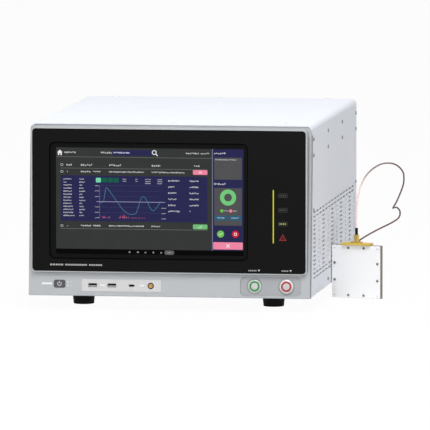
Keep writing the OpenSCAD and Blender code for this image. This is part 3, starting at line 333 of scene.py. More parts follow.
# soft edges on the main shells
edgeFacts = {
    # node: edge width in millimetres, steps, body, slot
    "front_bezel": (0.9, 3, mainBody, "painted_silver"),
    "port_plate": (0.35, 2, mainBody, "grey_plate"),
    "button_pad": (0.4, 2, mainBody, "painted_silver"),
    "power_button": (0.7, 3, "power_button_body", "dark_cap"),
    "sensor_cover": (0.5, 2, mainBody, "sensor_face"),
    "sensor_body": (0.4, 2, mainBody, "sensor_box"),
    "sensor_top_plate": (0.3, 2, mainBody, "gold"),
    "mains_inlet": (0.4, 2, mainBody, "black_plastic"),
    "fan_frame": (0.5, 2, mainBody, "black_plastic"),
}
edgeAngles = {"flat": 1.0, "crease": 30, "bevel": 35}  # degrees


def smoothUnder(work, degrees):
    # smooth shading, with every edge above the angle kept sharp
    for face in work.faces:
        face.smooth = True
    for edge in work.edges:
        edge.smooth = len(edge.link_faces) == 2 and edge.calc_face_angle(0) < math.radians(degrees)


def cleanCopy(node):
    # the node's mesh with its loose triangles joined into whole flat faces
    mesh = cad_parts[node].data.copy()
    mesh.name = node + "Soft"
    work = bmesh.new()
    work.from_mesh(mesh)
    bmesh.ops.remove_doubles(work, verts=work.verts, dist=weldDistance)
    bmesh.ops.dissolve_limit(work, angle_limit=math.radians(edgeAngles["flat"]), verts=work.verts,
                             edges=work.edges)
    bmesh.ops.recalc_face_normals(work, faces=work.faces)
    smoothUnder(work, edgeAngles["crease"])
    work.to_mesh(mesh)
    work.free()
    return mesh


def softenNode(node, width, steps, body, slot):
    piece = newObject(node + "Soft", cleanCopy(node))
    bevel = piece.modifiers.new("softEdges", "BEVEL")
    bevel.width = width * mm
    bevel.segments = steps
    bevel.limit_method = "ANGLE"
    bevel.angle_limit = math.radians(edgeAngles["bevel"])
    bevel.use_clamp_overlap = True
    bevel.harden_normals = True
    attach(piece, body)
    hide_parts(node)


for nodeName, facts in edgeFacts.items():
    softenNode(nodeName, *facts)
report("edges softened")

# lead
lead = {
    "diameter": 2.5,
    "length": 0.95,
    "stepLength": 4.0,
    # painted light: the jacket is painted palest by the plug and darkens with the distance from that palest
    # place, in which depth counts more than width
    "palestX": 254.0,
    "palestY": 243.0,
    "depthShare": 4.0,
    "darkAfter": 76.0,
    "jacketStops": [(0.06, (244, 214, 212)), (0.22, (176, 150, 146)), (0.45, (128, 108, 104)),
                    (0.95, (92, 62, 60))],
    "jacketGloss": (0.22, 0.34),
    "jacketCoat": 0.4,
    "jacketGrain": 900,
    "jacketBump": (0.05, 0.0003),  # strength and distance
    "roundSteps": 4,
    # from the sensor's plug up in a loop, down behind the sensor and round to the rear panel
    "route": [
        (255.6, 242.7, 108), (255.6, 242.7, 113), (255.7, 242.7, 126), (256.4, 242.8, 142),
        (258.7, 243.1, 161), (263.7, 243.8, 177), (270.7, 244.8, 189.5), (280.1, 246.2, 199),
        (291.9, 247.8, 206), (303.7, 249.5, 208), (313.9, 250.9, 206), (321.6, 252, 200.5),
        (326.5, 252.7, 193), (327.5, 252.8, 184.5), (326.5, 252.7, 174.5), (321.6, 252, 160.5),
        (315.6, 251.6, 147), (311.6, 253.6, 140.5), (309.9, 258.6, 137.5), (311.1, 264.6, 138),
        (314.6, 268.1, 138), (318.3, 269.6, 134.5), (319.7, 269.6, 129.5), (317.5, 269.6, 122),
        (306.1, 268.6, 114), (285.3, 267.6, 103.5), (267.5, 265.6, 93.5), (256, 264, 85.5),
        (247, 263, 75.5), (240, 263, 61.5), (234, 264, 45.5), (230.5, 268, 30), (229, 276, 15.5),
        (228.5, 288, 5.5), (228.5, 303, 1.8), (229, 330, 1.5), (229, 400, 1.5), (229, 470, 1.5),
        (229, 530, 1.5), (228, 560, 1.5), (225, 584, 1.6), (218, 603, 3), (209, 614, 10), (200, 620, 26),
        (192.5, 623, 50), (188, 623.9, 85), (185.7, 623.9, 120), (185, 623, 148), (185, 619, 166),
        (185, 610, 177.5), (185, 597, 181.5), (185, 588, 181.7), (185, 581, 181.7),
    ],
}


def smoothRoute(points, stepLength):
    # a curve through every point, cut into short even steps
    line = []
    last = len(points) - 1
    for i in range(last):
        before, start = points[max(i - 1, 0)], points[i]
        end, after = points[i + 1], points[min(i + 2, last)]
        steps = max(1, math.ceil((end - start).length / stepLength))
        for k in range(steps):
            t = k / steps
            bend = (2 * before - 5 * start + 4 * end - after) * t ** 2
            twist = (3 * start - before - 3 * end + after) * t ** 3
            line.append(0.5 * (2 * start + (end - before) * t + bend + twist))
    return line + [points[last]]


def leadFinish(facts):
    # clear brown jacket, painted paler where it leaves the plug as painted light
    material, tree, shader = newFinish("leadJacket")
    coords = addNode(tree, "ShaderNodeTexCoord").outputs["Object"]
    split = addNode(tree, "ShaderNodeSeparateXYZ", {"Vector": coords}).outputs
    behind = addNode(tree, "ShaderNodeMath", {0: split["Y"], 1: facts["depthShare"], 2: split["X"]},
                     operation="MULTIPLY_ADD")
    palest = spot(facts["palestX"], 0, 0).x + facts["depthShare"] * spot(0, facts["palestY"], 0).y
    along = addNode(tree, "ShaderNodeMapRange", {
        "Value": behind.outputs[0], "From Min": palest, "From Max": palest + facts["darkAfter"] * mm})
    stops = [(place, tint(*colour)) for place, colour in facts["jacketStops"]]
    fine = noise(tree, objectCoords(tree), facts["jacketGrain"])
    feed(tree, shader, {
        "Base Color": ramp(tree, along.outputs["Result"], stops),
        "Roughness": remap(tree, fine, *facts["jacketGloss"]), "Coat Weight": facts["jacketCoat"]})
    bump(tree, shader, fine, *facts["jacketBump"])
    return material


def addLead(facts):
    points = smoothRoute([spot(*point) for point in facts["route"]], facts["stepLength"] * mm)
    curve = bpy.data.curves.new("sensorLead", "CURVE")
    curve.dimensions = "3D"
    curve.bevel_depth = facts["diameter"] / 2 * mm
    curve.bevel_resolution = facts["roundSteps"]
    curve.use_fill_caps = True
    spline = curve.splines.new("POLY")
    spline.points.add(len(points) - 1)
    for place, point in zip(spline.points, points):
        place.co = (*point, 1.0)
    curve.materials.append(leadFinish(facts))
    piece = newObject("sensorLead", curve)
    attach(piece, mainBody)
    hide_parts("sensor_cable")
    print("lead measures", round(sum((b - a).length for a, b in zip(points, points[1:])), 4), "m")


addLead(lead)
report("lead laid")


# flat shapes for the screen and the printed marks
def rectangle(x, z, w, h):
    return [(x, z), (x + w, z), (x + w, z + h), (x, z + h)]


def roundRectangle(x, z, w, h, r, steps=6):
    outline = []
    for cx, cz, start in ((x + w - r, z + r, -90), (x + w - r, z + h - r, 0), (x + r, z + h - r, 90),
                          (x + r, z + r, 180)):
        for k in range(steps + 1):
            angle = math.radians(start + 90 * k / steps)
            outline.append((cx + r * math.cos(angle), cz + r * math.sin(angle)))
    return outline


def disc(x, z, r, sides=32):
    return [(x + r * math.cos(2 * math.pi * k / sides), z + r * math.sin(2 * math.pi * k / sides))
            for k in range(sides)]


def ringParts(outer, inner):
    # a ring as four-sided parts between two outlines of equal length
    count = len(outer)
    return [[outer[i], outer[(i + 1) % count], inner[(i + 1) % count], inner[i]] for i in range(count)]


def strokeOutline(points, width):
    # one closed outline round a line of points
    left, right = [], []
    for i, (x, z) in enumerate(points):
        x0, z0 = points[max(i - 1, 0)]
        x1, z1 = points[min(i + 1, len(points) - 1)]
        length = math.hypot(x1 - x0, z1 - z0)
        nx, nz = -(z1 - z0) / length * width / 2, (x1 - x0) / length * width / 2
        left.append((x + nx, z + nz))
        right.append((x - nx, z - nz))
    return right + left[::-1]


def strokeParts(points, width):
    outline = strokeOutline(points, width)
    count = len(points)
    right, left = outline[:count], outline[count:][::-1]
    return [[right[i], right[i + 1], left[i + 1], left[i]] for i in range(count - 1)]


def meshFrom(work, name, crease=None):
    # a plain mesh with outward faces; with a crease angle, the edges below it shade smooth
    bmesh.ops.recalc_face_normals(work, faces=work.faces)
    if crease:
        smoothUnder(work, crease)
    mesh = bpy.data.meshes.new(name)
    work.to_mesh(mesh)
    work.free()
    return mesh


def addPiece(name, mesh, material, body=mainBody):
    if material:
        mesh.materials.clear()
        mesh.materials.append(material)
    piece = newObject(name, mesh)
    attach(piece, body)
    return piece


def addFlat(name, shapes, toWorld, material, thickness=inkThickness, body=mainBody):
    # every shape becomes a thin closed slab; toWorld takes x, depth and z in millimetres
    work = bmesh.new()
    for shape in shapes:
        front = [work.verts.new(toWorld(x, 0, z)) for x, z in shape]
        back = [work.verts.new(toWorld(x, thickness, z)) for x, z in shape]
        count = len(shape)
        work.faces.new(front)
        work.faces.new(back[::-1])
        for i in range(count):
            work.faces.new((front[i], back[i], back[(i + 1) % count], front[(i + 1) % count]))
    return addPiece(name, meshFrom(work, name), material, body)


# repeated pieces from node trees
def startTree(name, sockets):
    tree = bpy.data.node_groups.new(name, "GeometryNodeTree")
    tree.interface.new_socket("Points", in_out="INPUT", socket_type="NodeSocketGeometry")
    for label, kind, value in sockets:
        socket = tree.interface.new_socket(label, in_out="INPUT", socket_type="NodeSocket" + kind)
        if value is not None:
            socket.default_value = value
    tree.interface.new_socket("Mesh", in_out="OUTPUT", socket_type="NodeSocketGeometry")
    return tree, addNode(tree, "NodeGroupInput").outputs


def endTree(tree, shape):
    addNode(tree, "NodeGroupOutput", {0: shape})
    return tree


def namedVector(tree, name):
    return addNode(tree, "GeometryNodeInputNamedAttribute", {"Name": name},
                   data_type="FLOAT_VECTOR").outputs["Attribute"]


def times(tree, first, second):
    return addNode(tree, "ShaderNodeMath", {0: first, 1: second}, operation="MULTIPLY").outputs[0]


def lifted(tree, shape, height):
    offset = addNode(tree, "ShaderNodeCombineXYZ", {"Z": height}).outputs[0]
    return addNode(tree, "GeometryNodeTransform", {"Geometry": shape, "Translation": offset}).outputs[0]


def painted(tree, shape, material):
    return addNode(tree, "GeometryNodeSetMaterial", {"Geometry": shape, "Material": material}).outputs[0]


def joined(tree, first, second):
    node = addNode(tree, "GeometryNodeJoinGeometry")
    tree.links.new(first, node.inputs[0])
    tree.links.new(second, node.inputs[0])
    return node.outputs[0]


def onEveryPoint(tree, given, shape, placing):
    # a copy of the shape on every point, made real
    placed = addNode(tree, "GeometryNodeInstanceOnPoints", {
        "Points": given["Points"], "Instance": shape, **placing})
    return addNode(tree, "GeometryNodeRealizeInstances", {"Geometry": placed.outputs[0]}).outputs[0]


screwForm = {
    # the sides of a head, then shares of its radius, height or recess
    "sides": 20, "rim": 0.55, "crown": 0.4, "crownTop": 0.72, "blade": 0.34, "bladeThick": 0.1,
    "bladeLift": 0.95,
}


def screwTree(form):
    # a pan head with a cross recess, drawn as a flat cross on the crown, where a near-black recess finish is
    # painted shade; set on every point and turned to its own outward direction
    tree, given = startTree("crossScrews", [
        ("Head Radius", "Float", 3 * mm), ("Head Height", "Float", 1.3 * mm), ("Recess Share", "Float", 0.62),
        ("Head", "Material", None), ("Recess", "Material", None)])
    radius, height = given["Head Radius"], given["Head Height"]
    rim = times(tree, height, form["rim"])
    crownTop = times(tree, radius, form["crownTop"])
    base = addNode(tree, "GeometryNodeMeshCylinder", {
        "Vertices": form["sides"], "Radius": radius, "Depth": rim})
    crown = addNode(tree, "GeometryNodeMeshCone", {
        "Vertices": form["sides"], "Radius Top": crownTop, "Radius Bottom": radius,
        "Depth": times(tree, height, form["crown"])})
    head = joined(tree, lifted(tree, base.outputs["Mesh"], times(tree, rim, 0.5)),
                  lifted(tree, crown.outputs["Mesh"], rim))
    span = times(tree, crownTop, given["Recess Share"])
    bladeLength, bladeWidth = times(tree, span, 2.0), times(tree, span, form["blade"])
    thin = times(tree, height, form["bladeThick"])
    blades = []
    for x, y in ((bladeLength, bladeWidth), (bladeWidth, bladeLength)):
        size = addNode(tree, "ShaderNodeCombineXYZ", {"X": x, "Y": y, "Z": thin})
        blades.append(addNode(tree, "GeometryNodeMeshCube", {"Size": size.outputs[0]}).outputs["Mesh"])
    cross = lifted(tree, joined(tree, *blades), times(tree, height, form["bladeLift"]))
    whole = joined(tree, painted(tree, head, given["Head"]), painted(tree, cross, given["Recess"]))
    outward = namedVector(tree, "outward")
    facing = addNode(tree, "FunctionNodeAlignRotationToVector", {"Vector": outward}, axis="Z")
    return endTree(tree, onEveryPoint(tree, given, whole, {"Rotation": facing.outputs[0]}))


def barTree():
    # one small bar on every point, as wide, deep and tall as the point's own size says
    tree, given = startTree("printedBars", [("Ink", "Material", None)])
    bar = addNode(tree, "GeometryNodeMeshCube", {"Size": (1, 1, 1)}).outputs["Mesh"]
    real = onEveryPoint(tree, given, bar, {"Scale": namedVector(tree, "barSize")})
    return endTree(tree, painted(tree, real, given["Ink"]))


def growPoints(name, points, attribute, tree, inputs):
    # runs a node tree on loose points, each with its own vector, and keeps the result as a plain mesh
    cloud = bpy.data.meshes.new(name + "Points")
    cloud.from_pydata([tuple(place) for place, vector in points], [], [])
    layer = cloud.attributes.new(attribute, "FLOAT_VECTOR", "POINT")
    for item, (place, vector) in zip(layer.data, points):
        item.vector = vector
    holder = newObject(name + "Points", cloud)
    modifier = holder.modifiers.new("grow", "NODES")
    modifier.node_group = tree
    for socket in tree.interface.items_tree:
        if socket.in_out == "INPUT" and socket.name in inputs:
            modifier[socket.identifier] = inputs[socket.name]
    evaluated = holder.evaluated_get(bpy.context.evaluated_depsgraph_get())
    mesh = bpy.data.meshes.new_from_object(evaluated)
    mesh.name = name
    holder.modifiers.clear()
    bpy.data.objects.remove(holder)
    return addPiece(name, mesh, None)


screws = screwTree(screwForm)
bars = barTree()


def addScrews(name, points, radius, height, headFinish="screwMetal", recessFinish="recessShade"):
    return growPoints(name, points, "outward", screws, {
        "Head Radius": radius, "Head Height": height, "Head": finishes[headFinish],
        "Recess": finishes[recessFinish]})


def addBars(name, points, ink):
    growPoints(name, points, "barSize", bars, {"Ink": ink})


# screws
screwFacts = {
    "headRadius": 3.0, "headHeight": 1.3, "rowDrop": (21.5, 46.0), "midHeight": 131.0, "lowHeight": 10.5,
    "topInset": 44.2, "topSetBack": 14.0, "rearInset": 9.0,
}


def coverScrewPoints(facts):
    # three in each of four columns on both sides, then three pairs on top, each with its outward direction
    low, high = nodeBox("front_plate")
    front = ((low.y + high.y) / 2 - fasciaY) / mm
    rear = (coverHigh.y - fasciaY) / mm - facts["rearInset"]
    step = (rear - front) / 3
    half, under = caseW / 2, undersideZ / mm
    points = []
    for side in (-1, 1):
        for i in range(4):
            lowest = facts["lowHeight"] if i in (1, 2) else facts["midHeight"]
            for z in [caseH - drop for drop in facts["rowDrop"]] + [lowest]:
                points.append((spot(side * half, front + i * step, under + z), (side, 0, 0)))
    for x in (facts["topInset"] - half, 0, half - facts["topInset"]):
        for y in (front + facts["topSetBack"], rear):
            points.append((spot(x, y, under + caseH), (0, 0, 1)))
    return points


coverPoints = coverScrewPoints(screwFacts)
for name, headFinish, up in (("coverScrewHeads", "screwDark", 0), ("topScrewHeads", "paleScrew", 1)):
    chosen = [(place, outward) for place, outward in coverPoints if outward[2] == up]
    heads = addScrews(name, chosen, screwFacts["headRadius"] * mm, screwFacts["headHeight"] * mm, headFinish)
    if not up:
        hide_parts("cover_screws")
report("cover screws")

# screen
glassLow, glassHigh = nodeBox("display_glass")
screen = {
    "left": 14.2,  # from the glass's left edge to the lit area
    "low": 11.4,
    "width": 286.6,
    "height": 161.7,
    "footTall": 7.8,
    "mainWidth": 238.6,
    "edgeLine": 1.2,
    "layer": 0.05,
}


def onScreen(layer):
    # x, depth and z of a slab on the glass; a higher layer lies nearer the viewer
    def toWorld(x, depth, z):
        return Vector((glassLow.x + (screen["left"] + x) * mm,
                       glassLow.y - ((layer + 1) * screen["layer"] - depth) * mm,
                       glassLow.z + (screen["low"] + z) * mm))

    return toWorld


def addScreenPart(name, layer, shapes, colour):
    addFlat(name, shapes, onScreen(layer), lit(name + "Light", colour), screen["layer"])


# painted shade: a near-black ring on the glass round the window's edge, where the fascia's recess edge shades
# it
windowShadeFacts = {"glassRim": 4.0, "clearance": 0.05, "width": 1.4, "corner": 8.4}


def addWindowShade(facts):
    inset = facts["glassRim"] + facts["clearance"]
    left, low = inset - screen["left"], inset - screen["low"]
    wide = (glassHigh.x - glassLow.x) / mm - 2 * inset
    tall = (glassHigh.z - glassLow.z) / mm - 2 * inset
    line, corner = facts["width"], facts["corner"]
    outer = roundRectangle(left, low, wide, tall, corner)
    inner = roundRectangle(left + line, low + line, wide - 2 * line, tall - 2 * line, corner - line)
    addFlat("windowEdgeShade", ringParts(outer, inner), onScreen(0), finishes["windowShadeBlack"],
            screen["layer"])


addWindowShade(windowShadeFacts)
greyBack, navy = (52, 55, 53), (40, 40, 81)
foot, edge, line = screen["footTall"], screen["mainWidth"], screen["edgeLine"]
upper = screen["height"] - foot
screenPanels = [
    # name, layer, colour, then each shape's left, low, width, height and, where it is rounded, corner
    ("screenGround", 0, greyBack, [(0, foot, edge, upper)]),
    ("screenFootBar", 0, (0, 0, 0), [(0, 0, screen["width"], foot)]),
    ("screenEdgeLine", 0, (120, 120, 150), [(edge, foot, line, upper)]),
    ("screenSideBar", 0, navy, [(edge + line, foot, screen["width"] - edge - line, upper)]),
    ("screenNavyPanels", 1, navy, [(86.7, 150.2, 59.4, 8.6), (7.2, 50.0, 224.4, 69.4, 0.8)]),
    ("screenGreyBoxes", 1, (80, 80, 82), [(241.9, 115.6, 42.3, 33.4, 0.8), (241.9, 46.0, 42.3, 56.9, 0.8)]),
    ("screenRules", 1, (110, 112, 110), [
        (0.5, 147.3, 238.1, 0.6), (6.6, 130.0, 225.4, 0.6), (6.5, 38.2, 225.4, 0.6)]),
    ("screenPinkPills", 2, (238, 135, 164), [(209.5, 122.5, 22.1, 7.1, 1.4), (240.4, 9.6, 45.2, 11.0, 1.0)]),
    ("screenGreenPill", 2, (113, 185, 120), [(209.5, 39.8, 22.1, 7.3, 1.4)]),
    ("screenMintTab", 2, (120, 212, 170), [(61.0, 109.1, 7.8, 7.0, 1.0)]),
    ("screenGreenTabs", 2, (22, 92, 70), [(x, 109.3, 7.8, 7.0, 1.0) for x in (70.0, 79.1, 88.1)]),
    ("screenTealKeys", 2, (36, 96, 128), [(243.3, 53.9, 17.8, 7.1, 1.0), (265.0, 53.9, 17.7, 7.1, 1.0)]),
    ("screenGreyKey", 2, (96, 94, 94), [(165.8, 0.4, 15.0, 6.6, 3.2)]),
    ("screenMidLine", 3, (170, 165, 205), [(62.0, 79.6, 105.0, 0.7)]),
    ("screenAxis", 3, (120, 116, 160), [(66.5, 54.9, 0.5, 49.9)]),
]
for name, layer, colour, sizes in screenPanels:
    panels = [roundRectangle(*size) if len(size) > 4 else rectangle(*size) for size in sizes]
    addScreenPart(name, layer, panels, colour)
screenDots = [
    # name, colour, then each disc's x, height, radius and sides
    ("screenGreenDots", (110, 190, 80), [(253.5, 68.2, 2.5, 20), (251.7, 33.0, 5.4, 28)]),
    ("screenPinkDot", (240, 130, 155), [(267.2, 68.2, 2.5, 20)]),
    ("screenRedDot", (206, 30, 45), [(274.4, 33.0, 5.4, 28)]),
]
for name, colour, dots in screenDots:
    addScreenPart(name, 2, [disc(*dot) for dot in dots], colour)
donut = {"middle": (263.1, 88.6), "radii": (12.3, 5.9), "sides": 40}
donutEdges = [disc(*donut["middle"], radius, donut["sides"]) for radius in donut["radii"]]
addScreenPart("screenDonut", 2, ringParts(*donutEdges), (113, 198, 122))

# the chart's curve and the short spikes along its foot
chart = {
    "knots": [(67.1, 79.0), (72.3, 79.4), (74.7, 91.7), (77.0, 101.3), (83.6, 93.8), (93.8, 79.7),
              (102.0, 68.6), (110.2, 62.2), (116.3, 61.1), (122.5, 63.2), (126.6, 74.0), (129.7, 84.2),
              (134.2, 88.4), (138.9, 82.3), (144.0, 71.2), (148.7, 67.0), (154.3, 72.3), (160.4, 81.2)],
    "knotStep": 1.2,
    "lineWidth": 0.6,
    "spikeRuns": [(71.2, 83.5, 5.5), (96.8, 112.2, 6.5), (116, 136, 2.0)],  # from, to and tallest
    "spikeStep": (1.3, 3.1),
    "spikeShare": (0.25, 1.0),  # of the run's tallest
    "spikeForm": (0.5, 0.1, 0.2),  # half its width, its lean and the height added to each
    "foot": 55.2,
    "seed": 7,
}


def addChart(facts):
    knots = [Vector((x, 0, z)) for x, z in facts["knots"]]
    curve = [(point.x, point.z) for point in smoothRoute(knots, facts["knotStep"])]
    addScreenPart("screenTrace", 4, strokeParts(curve, facts["lineWidth"]), (74, 140, 150))
    random.seed(facts["seed"])
    spikes, foot = [], facts["foot"]
    half, lean, rise = facts["spikeForm"]
    for start, end, tall in facts["spikeRuns"]:
        x = start
        while x < end:
            tip = foot + rise + tall * random.uniform(*facts["spikeShare"])
            spikes.append([(x - half, foot), (x + half, foot), (x + lean, tip)])
            x += random.uniform(*facts["spikeStep"])
    addScreenPart("screenSpikes", 4, spikes, (205, 100, 130))


addChart(chart)

# home, lens, ticks, crosses and other simple signs
signs = [[(1.7, 154.2), (5.8, 158.2), (9.9, 154.2), (8.7, 154.2), (8.7, 149.9), (6.8, 149.9), (6.8, 152.9),
          (4.8, 152.9), (4.8, 149.9), (2.9, 149.9), (2.9, 154.2)]]
signs += ringParts(disc(150.4, 155.5, 3.6, 24), disc(150.4, 155.5, 2.4, 24))
signs += ringParts(roundRectangle(272.2, 30.8, 4.4, 4.4, 1.0, 2),
                   roundRectangle(273.1, 31.7, 2.6, 2.6, 0.5, 2))
for z in (135.5, 125.1, 42.8):
    signs += ringParts(roundRectangle(7.0, z - 1.5, 3.8, 3.0, 0.6, 2),
                       roundRectangle(7.35, z - 1.15, 3.1, 2.3, 0.4, 2))
for width, *strokes in (
        # stroke width, then the ends of each stroke
        (1.4, [(152.8, 153.1), (155.6, 150.3)]),
        (1.2, [(260.6, 12.7), (265.4, 17.5)], [(260.6, 17.5), (265.4, 12.7)]),
        (0.8, [(219.0, 124.4), (222.4, 127.8)], [(219.0, 127.8), (222.4, 124.4)])):
    signs += [strokeOutline(stroke, width) for stroke in strokes]
signs += strokeParts([(248.9, 33.2), (250.9, 31.2), (254.6, 35.0)], 0.9)
signs += strokeParts([(217.8, 43.5), (219.9, 41.5), (223.6, 45.4)], 0.8)
addScreenPart("screenSigns", 4, signs, (235, 235, 238))


# a dash's width, its height and the gap after it are shares of its run's own width and height;
# the shift is a share of the height left over, and room is the least length a dash needs
wordDash = {"wide": (0.55, 0.95), "tall": (0.5, 1.0), "shift": (-0.5, 0, 0.5), "gap": 0.28, "room": 0.3}


def addWords(name, runs, seedValue, ink):
    # runs of small uneven dashes: each has its left, right, middle height, dash height and dash width
    random.seed(seedValue)
    points, depth, toWorld = [], screen["layer"], onScreen(4)
    for left, right, z, tall, wide in runs:
        x = left
        while x < right - wordDash["room"]:
            w = min(wide * random.uniform(*wordDash["wide"]), right - x)
            h = tall * random.uniform(*wordDash["tall"])
            place = toWorld(x + w / 2, depth / 2, z + (tall - h) * random.choice(wordDash["shift"]))
            points.append((place, (w * mm, depth * mm, h * mm)))
            x += w + wide * wordDash["gap"]
    addBars(name, points, ink)


brightRuns = [(12.8, 30.7, 154.3, 2.6, 3.0), (68.8, 85.7, 154.4, 2.6, 2.8), (198.7, 218.3, 154.8, 2.4, 2.6),
              (221.4, 234.3, 154.8, 2.4, 1.8), (15.9, 25.1, 135.4, 2.9, 3.2), (38.0, 55.3, 135.4, 2.9, 3.2),
              (81.5, 99.2, 135.4, 2.9, 3.2), (146.5, 159.4, 135.4, 2.9, 3.2), (211.2, 220.4, 135.5, 2.4, 2.8),
              (241.9, 260.0, 155.4, 2.8, 3.0), (241.9, 259.6, 109.0, 2.8, 3.0)]
for z in (125.2, 43.1):
    brightRuns += [(16.9, 18.3, z, 2.4, 1.4), (38.0, 53.5, z + 0.2, 2.4, 2.8),
                   (57.0, 68.6, z + 0.2, 2.4, 2.6), (81.1, 134.4, z + 0.2, 2.2, 1.9)]
brightRuns += [(146.1, 196.9, 125.4, 2.2, 1.9), (146.0, 160.0, 43.3, 2.2, 1.9)]
listRows = {
    "topLeft": 113.8, "leftStep": 4.62,
    "leftEnds": (24, 16.5, 24, 24, 24, 24, 23, 23.5, 23.5, 25.5, 26.5, 26.5, 28),
    "topRight": 112.7, "rightStep": 9.25,
    "rightEnds": ((188.5, 218), (181.5, 218), (184, 218), (184, 218), (183, 218), (189.5, 206)),
}
for row, (labelEnd, valueEnd) in enumerate(listRows["rightEnds"]):
    z = listRows["topRight"] - listRows["rightStep"] * row
    brightRuns += [(171.7, labelEnd, z, 2.5, 2.2), (204.4, valueEnd, z, 2.5, 1.9)]
for row, end in enumerate(listRows["leftEnds"]):
    z = listRows["topLeft"] - listRows["leftStep"] * row
    brightRuns += [(11.3, end, z, 1.9, 1.7), (35.7, 36 + 9 * (0.7 + 0.3 * math.sin(row * 2.1)), z, 1.9, 1.6)]
for left, right, rows in ((102.0, 107.6, 2), (121.6, 125.0, 2), (136.4, 145.0, 3), (155.0, 162.4, 3)):
    brightRuns += [(left, right, 114.4 - 3.1 * row, 1.4, 1.3) for row in range(rows)]
for left, right, heights in (
        (59.6, 65.8, (104.1, 96.2, 87.6, 71.9, 63.6, 55.4)),
        (161.4, 168.0, (71.0, 63.0, 54.9))):
    brightRuns += [(left, right, z, 1.2, 1.1) for z in heights]
brightRuns += [(243.4, 276.0, 145.7, 1.6, 1.4), (256.8, 263.7, 68.2, 1.6, 1.3),
               (270.9, 276.4, 68.2, 1.6, 1.3), (246.6, 258.0, 57.5, 1.8, 1.7), (268.4, 279.6, 57.5, 1.8, 1.7)]
footRuns = [(x - 1.4, x + 1.4, 3.6, 2.6, 2.9) for x in (112.8, 125.3, 137.0, 149.3, 161.2)]
footRuns.append((170.6, 176.2, 3.7, 2.0, 1.8))
addWords("screenWords", brightRuns, 11, lit("screenWordsLight", (200, 200, 205), 0.85))
addWords("screenEntry", [(88.1, 112.7, 154.6, 2.4, 1.9)], 3, lit("screenEntryLight", (195, 195, 225)))
addWords("screenFootSigns", footRuns, 5, lit("screenFootLight", (150, 150, 152)))
grid = {
    "left": 68.5, "step": 3.9, "count": 24, "heights": (104.6, 96.4, 88.0, 71.5, 63.3),
    "dashWidth": 1.6, "dashHeight": 0.35,
}
gridDash = Vector((grid["dashWidth"], screen["layer"], grid["dashHeight"])) * mm
gridPoints = [(onScreen(3)(grid["left"] + grid["step"] * k, screen["layer"] / 2, z), gridDash)
              for z in grid["heights"] for k in range(grid["count"])]
addBars("screenGrid", gridPoints, lit("screenGridLight", (96, 94, 140)))
report("screen lit")

# marks on the fascia, glowing with their own colour; on the print this glow is painted light
marks = {
    "legendX": 174.1, "legendW": 14.5, "legendH": 6.2, "legendZ": (156.2, 134.3, 113.3), "frameLine": 0.5,
    "frameCorners": (2.0, 1.5), "cornerSteps": 4,
    "dashStep": 2.7, "dashW": 1.7, "dashH": 2.4, "dashLeft": 5.0, "dashCount": 4,
    "triangleZ": 87.8, "triangleW": 11.8, "triangleH": 10.0, "fieldShare": 0.66,
    "pointerX": (137.7, 186.1), "pointerHalf": 1.6, "pointerZ": (40.5, 43.3),
    # left, right, middle height, height, count and filled share of each row of dashes
    "titleRuns": [(-181.6, -160.7, 47.2, 2.4, 5), (-158.7, -124.5, 47.2, 2.4, 11),
                  (-121.9, -101.2, 47.2, 2.4, 6)],
    "buttonRuns": [(121.8, 135.0, 41.9, 2.0, 5, 0.6), (172.5, 183.6, 41.9, 2.0, 4, 0.6)],
}
fasciaFront = nodeBox("fascia")[0].y


def onFascia(x, depth, z):
    return Vector((middleX + x * mm, fasciaFront + (depth - inkThickness) * mm, undersideZ + z * mm))


def legendFrame(z):
    w, h, line = marks["legendW"], marks["legendH"], marks["frameLine"]
    left, low = marks["legendX"] - w / 2, z - h / 2
    (outer, inner), steps = marks["frameCorners"], marks["cornerSteps"]
    return ringParts(roundRectangle(left, low, w, h, outer, steps),
                     roundRectangle(left + line, low + line, w - 2 * line, h - 2 * line, inner, steps))


def legendDashes(z):
    left, tall = marks["legendX"] - marks["dashLeft"], marks["dashH"]
    return [rectangle(left + marks["dashStep"] * k, z - tall / 2, marks["dashW"], tall)
            for k in range(marks["dashCount"])]


def dashRow(left, right, middle, tall, count, fill=0.74):
    # plain dashes of one size, evenly spaced
    step = (right - left) / count
    return [rectangle(left + step * k, middle - tall / 2, step * fill, tall) for k in range(count)]


def dashRows(runs):
    return [dash for run in runs for dash in dashRow(*run)]


def triangleParts(facts):
    # the rim's parts and the field inside it
    half, low, tall, x0 = facts["triangleW"] / 2, facts["triangleZ"], facts["triangleH"], facts["legendX"]
    outer = [(x0 - half, low), (x0 + half, low), (x0, low + tall)]
    z0 = low + tall / 3
    field = [(x0 + (x - x0) * facts["fieldShare"], z0 + (z - z0) * facts["fieldShare"]) for x, z in outer]
    return ringParts(outer, field), [field]


def pointers(facts):
    half, (tip, top) = facts["pointerHalf"], facts["pointerZ"]
    return [[(x - half, top), (x, tip), (x + half, top)] for x in facts["pointerX"]]


topZ, middleZ, lowZ = marks["legendZ"]
dimShapes = [shape for z in marks["legendZ"] for shape in legendFrame(z)]
dimShapes += legendDashes(topZ) + legendDashes(middleZ)
triangleRim, triangleField = triangleParts(marks)
# these marks glow with their own colour; on the printed ones the glow is painted light
for name, shapes, colour, slot in (
        ("dimLegends", dimShapes, (78, 78, 78), "black_gloss"),
        ("litLegend", legendDashes(lowZ), (166, 168, 92), "light_yellow"),
        ("redTriangle", triangleRim, (146, 50, 55), "ring_red"),
        ("redTriangleField", triangleField, (78, 33, 33), "ring_red"),
        ("titleDashes", dashRows(marks["titleRuns"]), (176, 176, 176), "bezel_white"),
        ("buttonPointers", pointers(marks), (215, 215, 215), "bezel_white"),
        ("buttonDashes", dashRows(marks["buttonRuns"]), (178, 178, 178), "bezel_white")):
    addFlat(name, shapes, onFascia, lit(name + "Ink", colour))

# the light bar's lit middle; the bar's own rim stays dark
strip = {"width": 1.6, "endInset": 2.9, "corner": 0.75, "cornerSteps": 5}


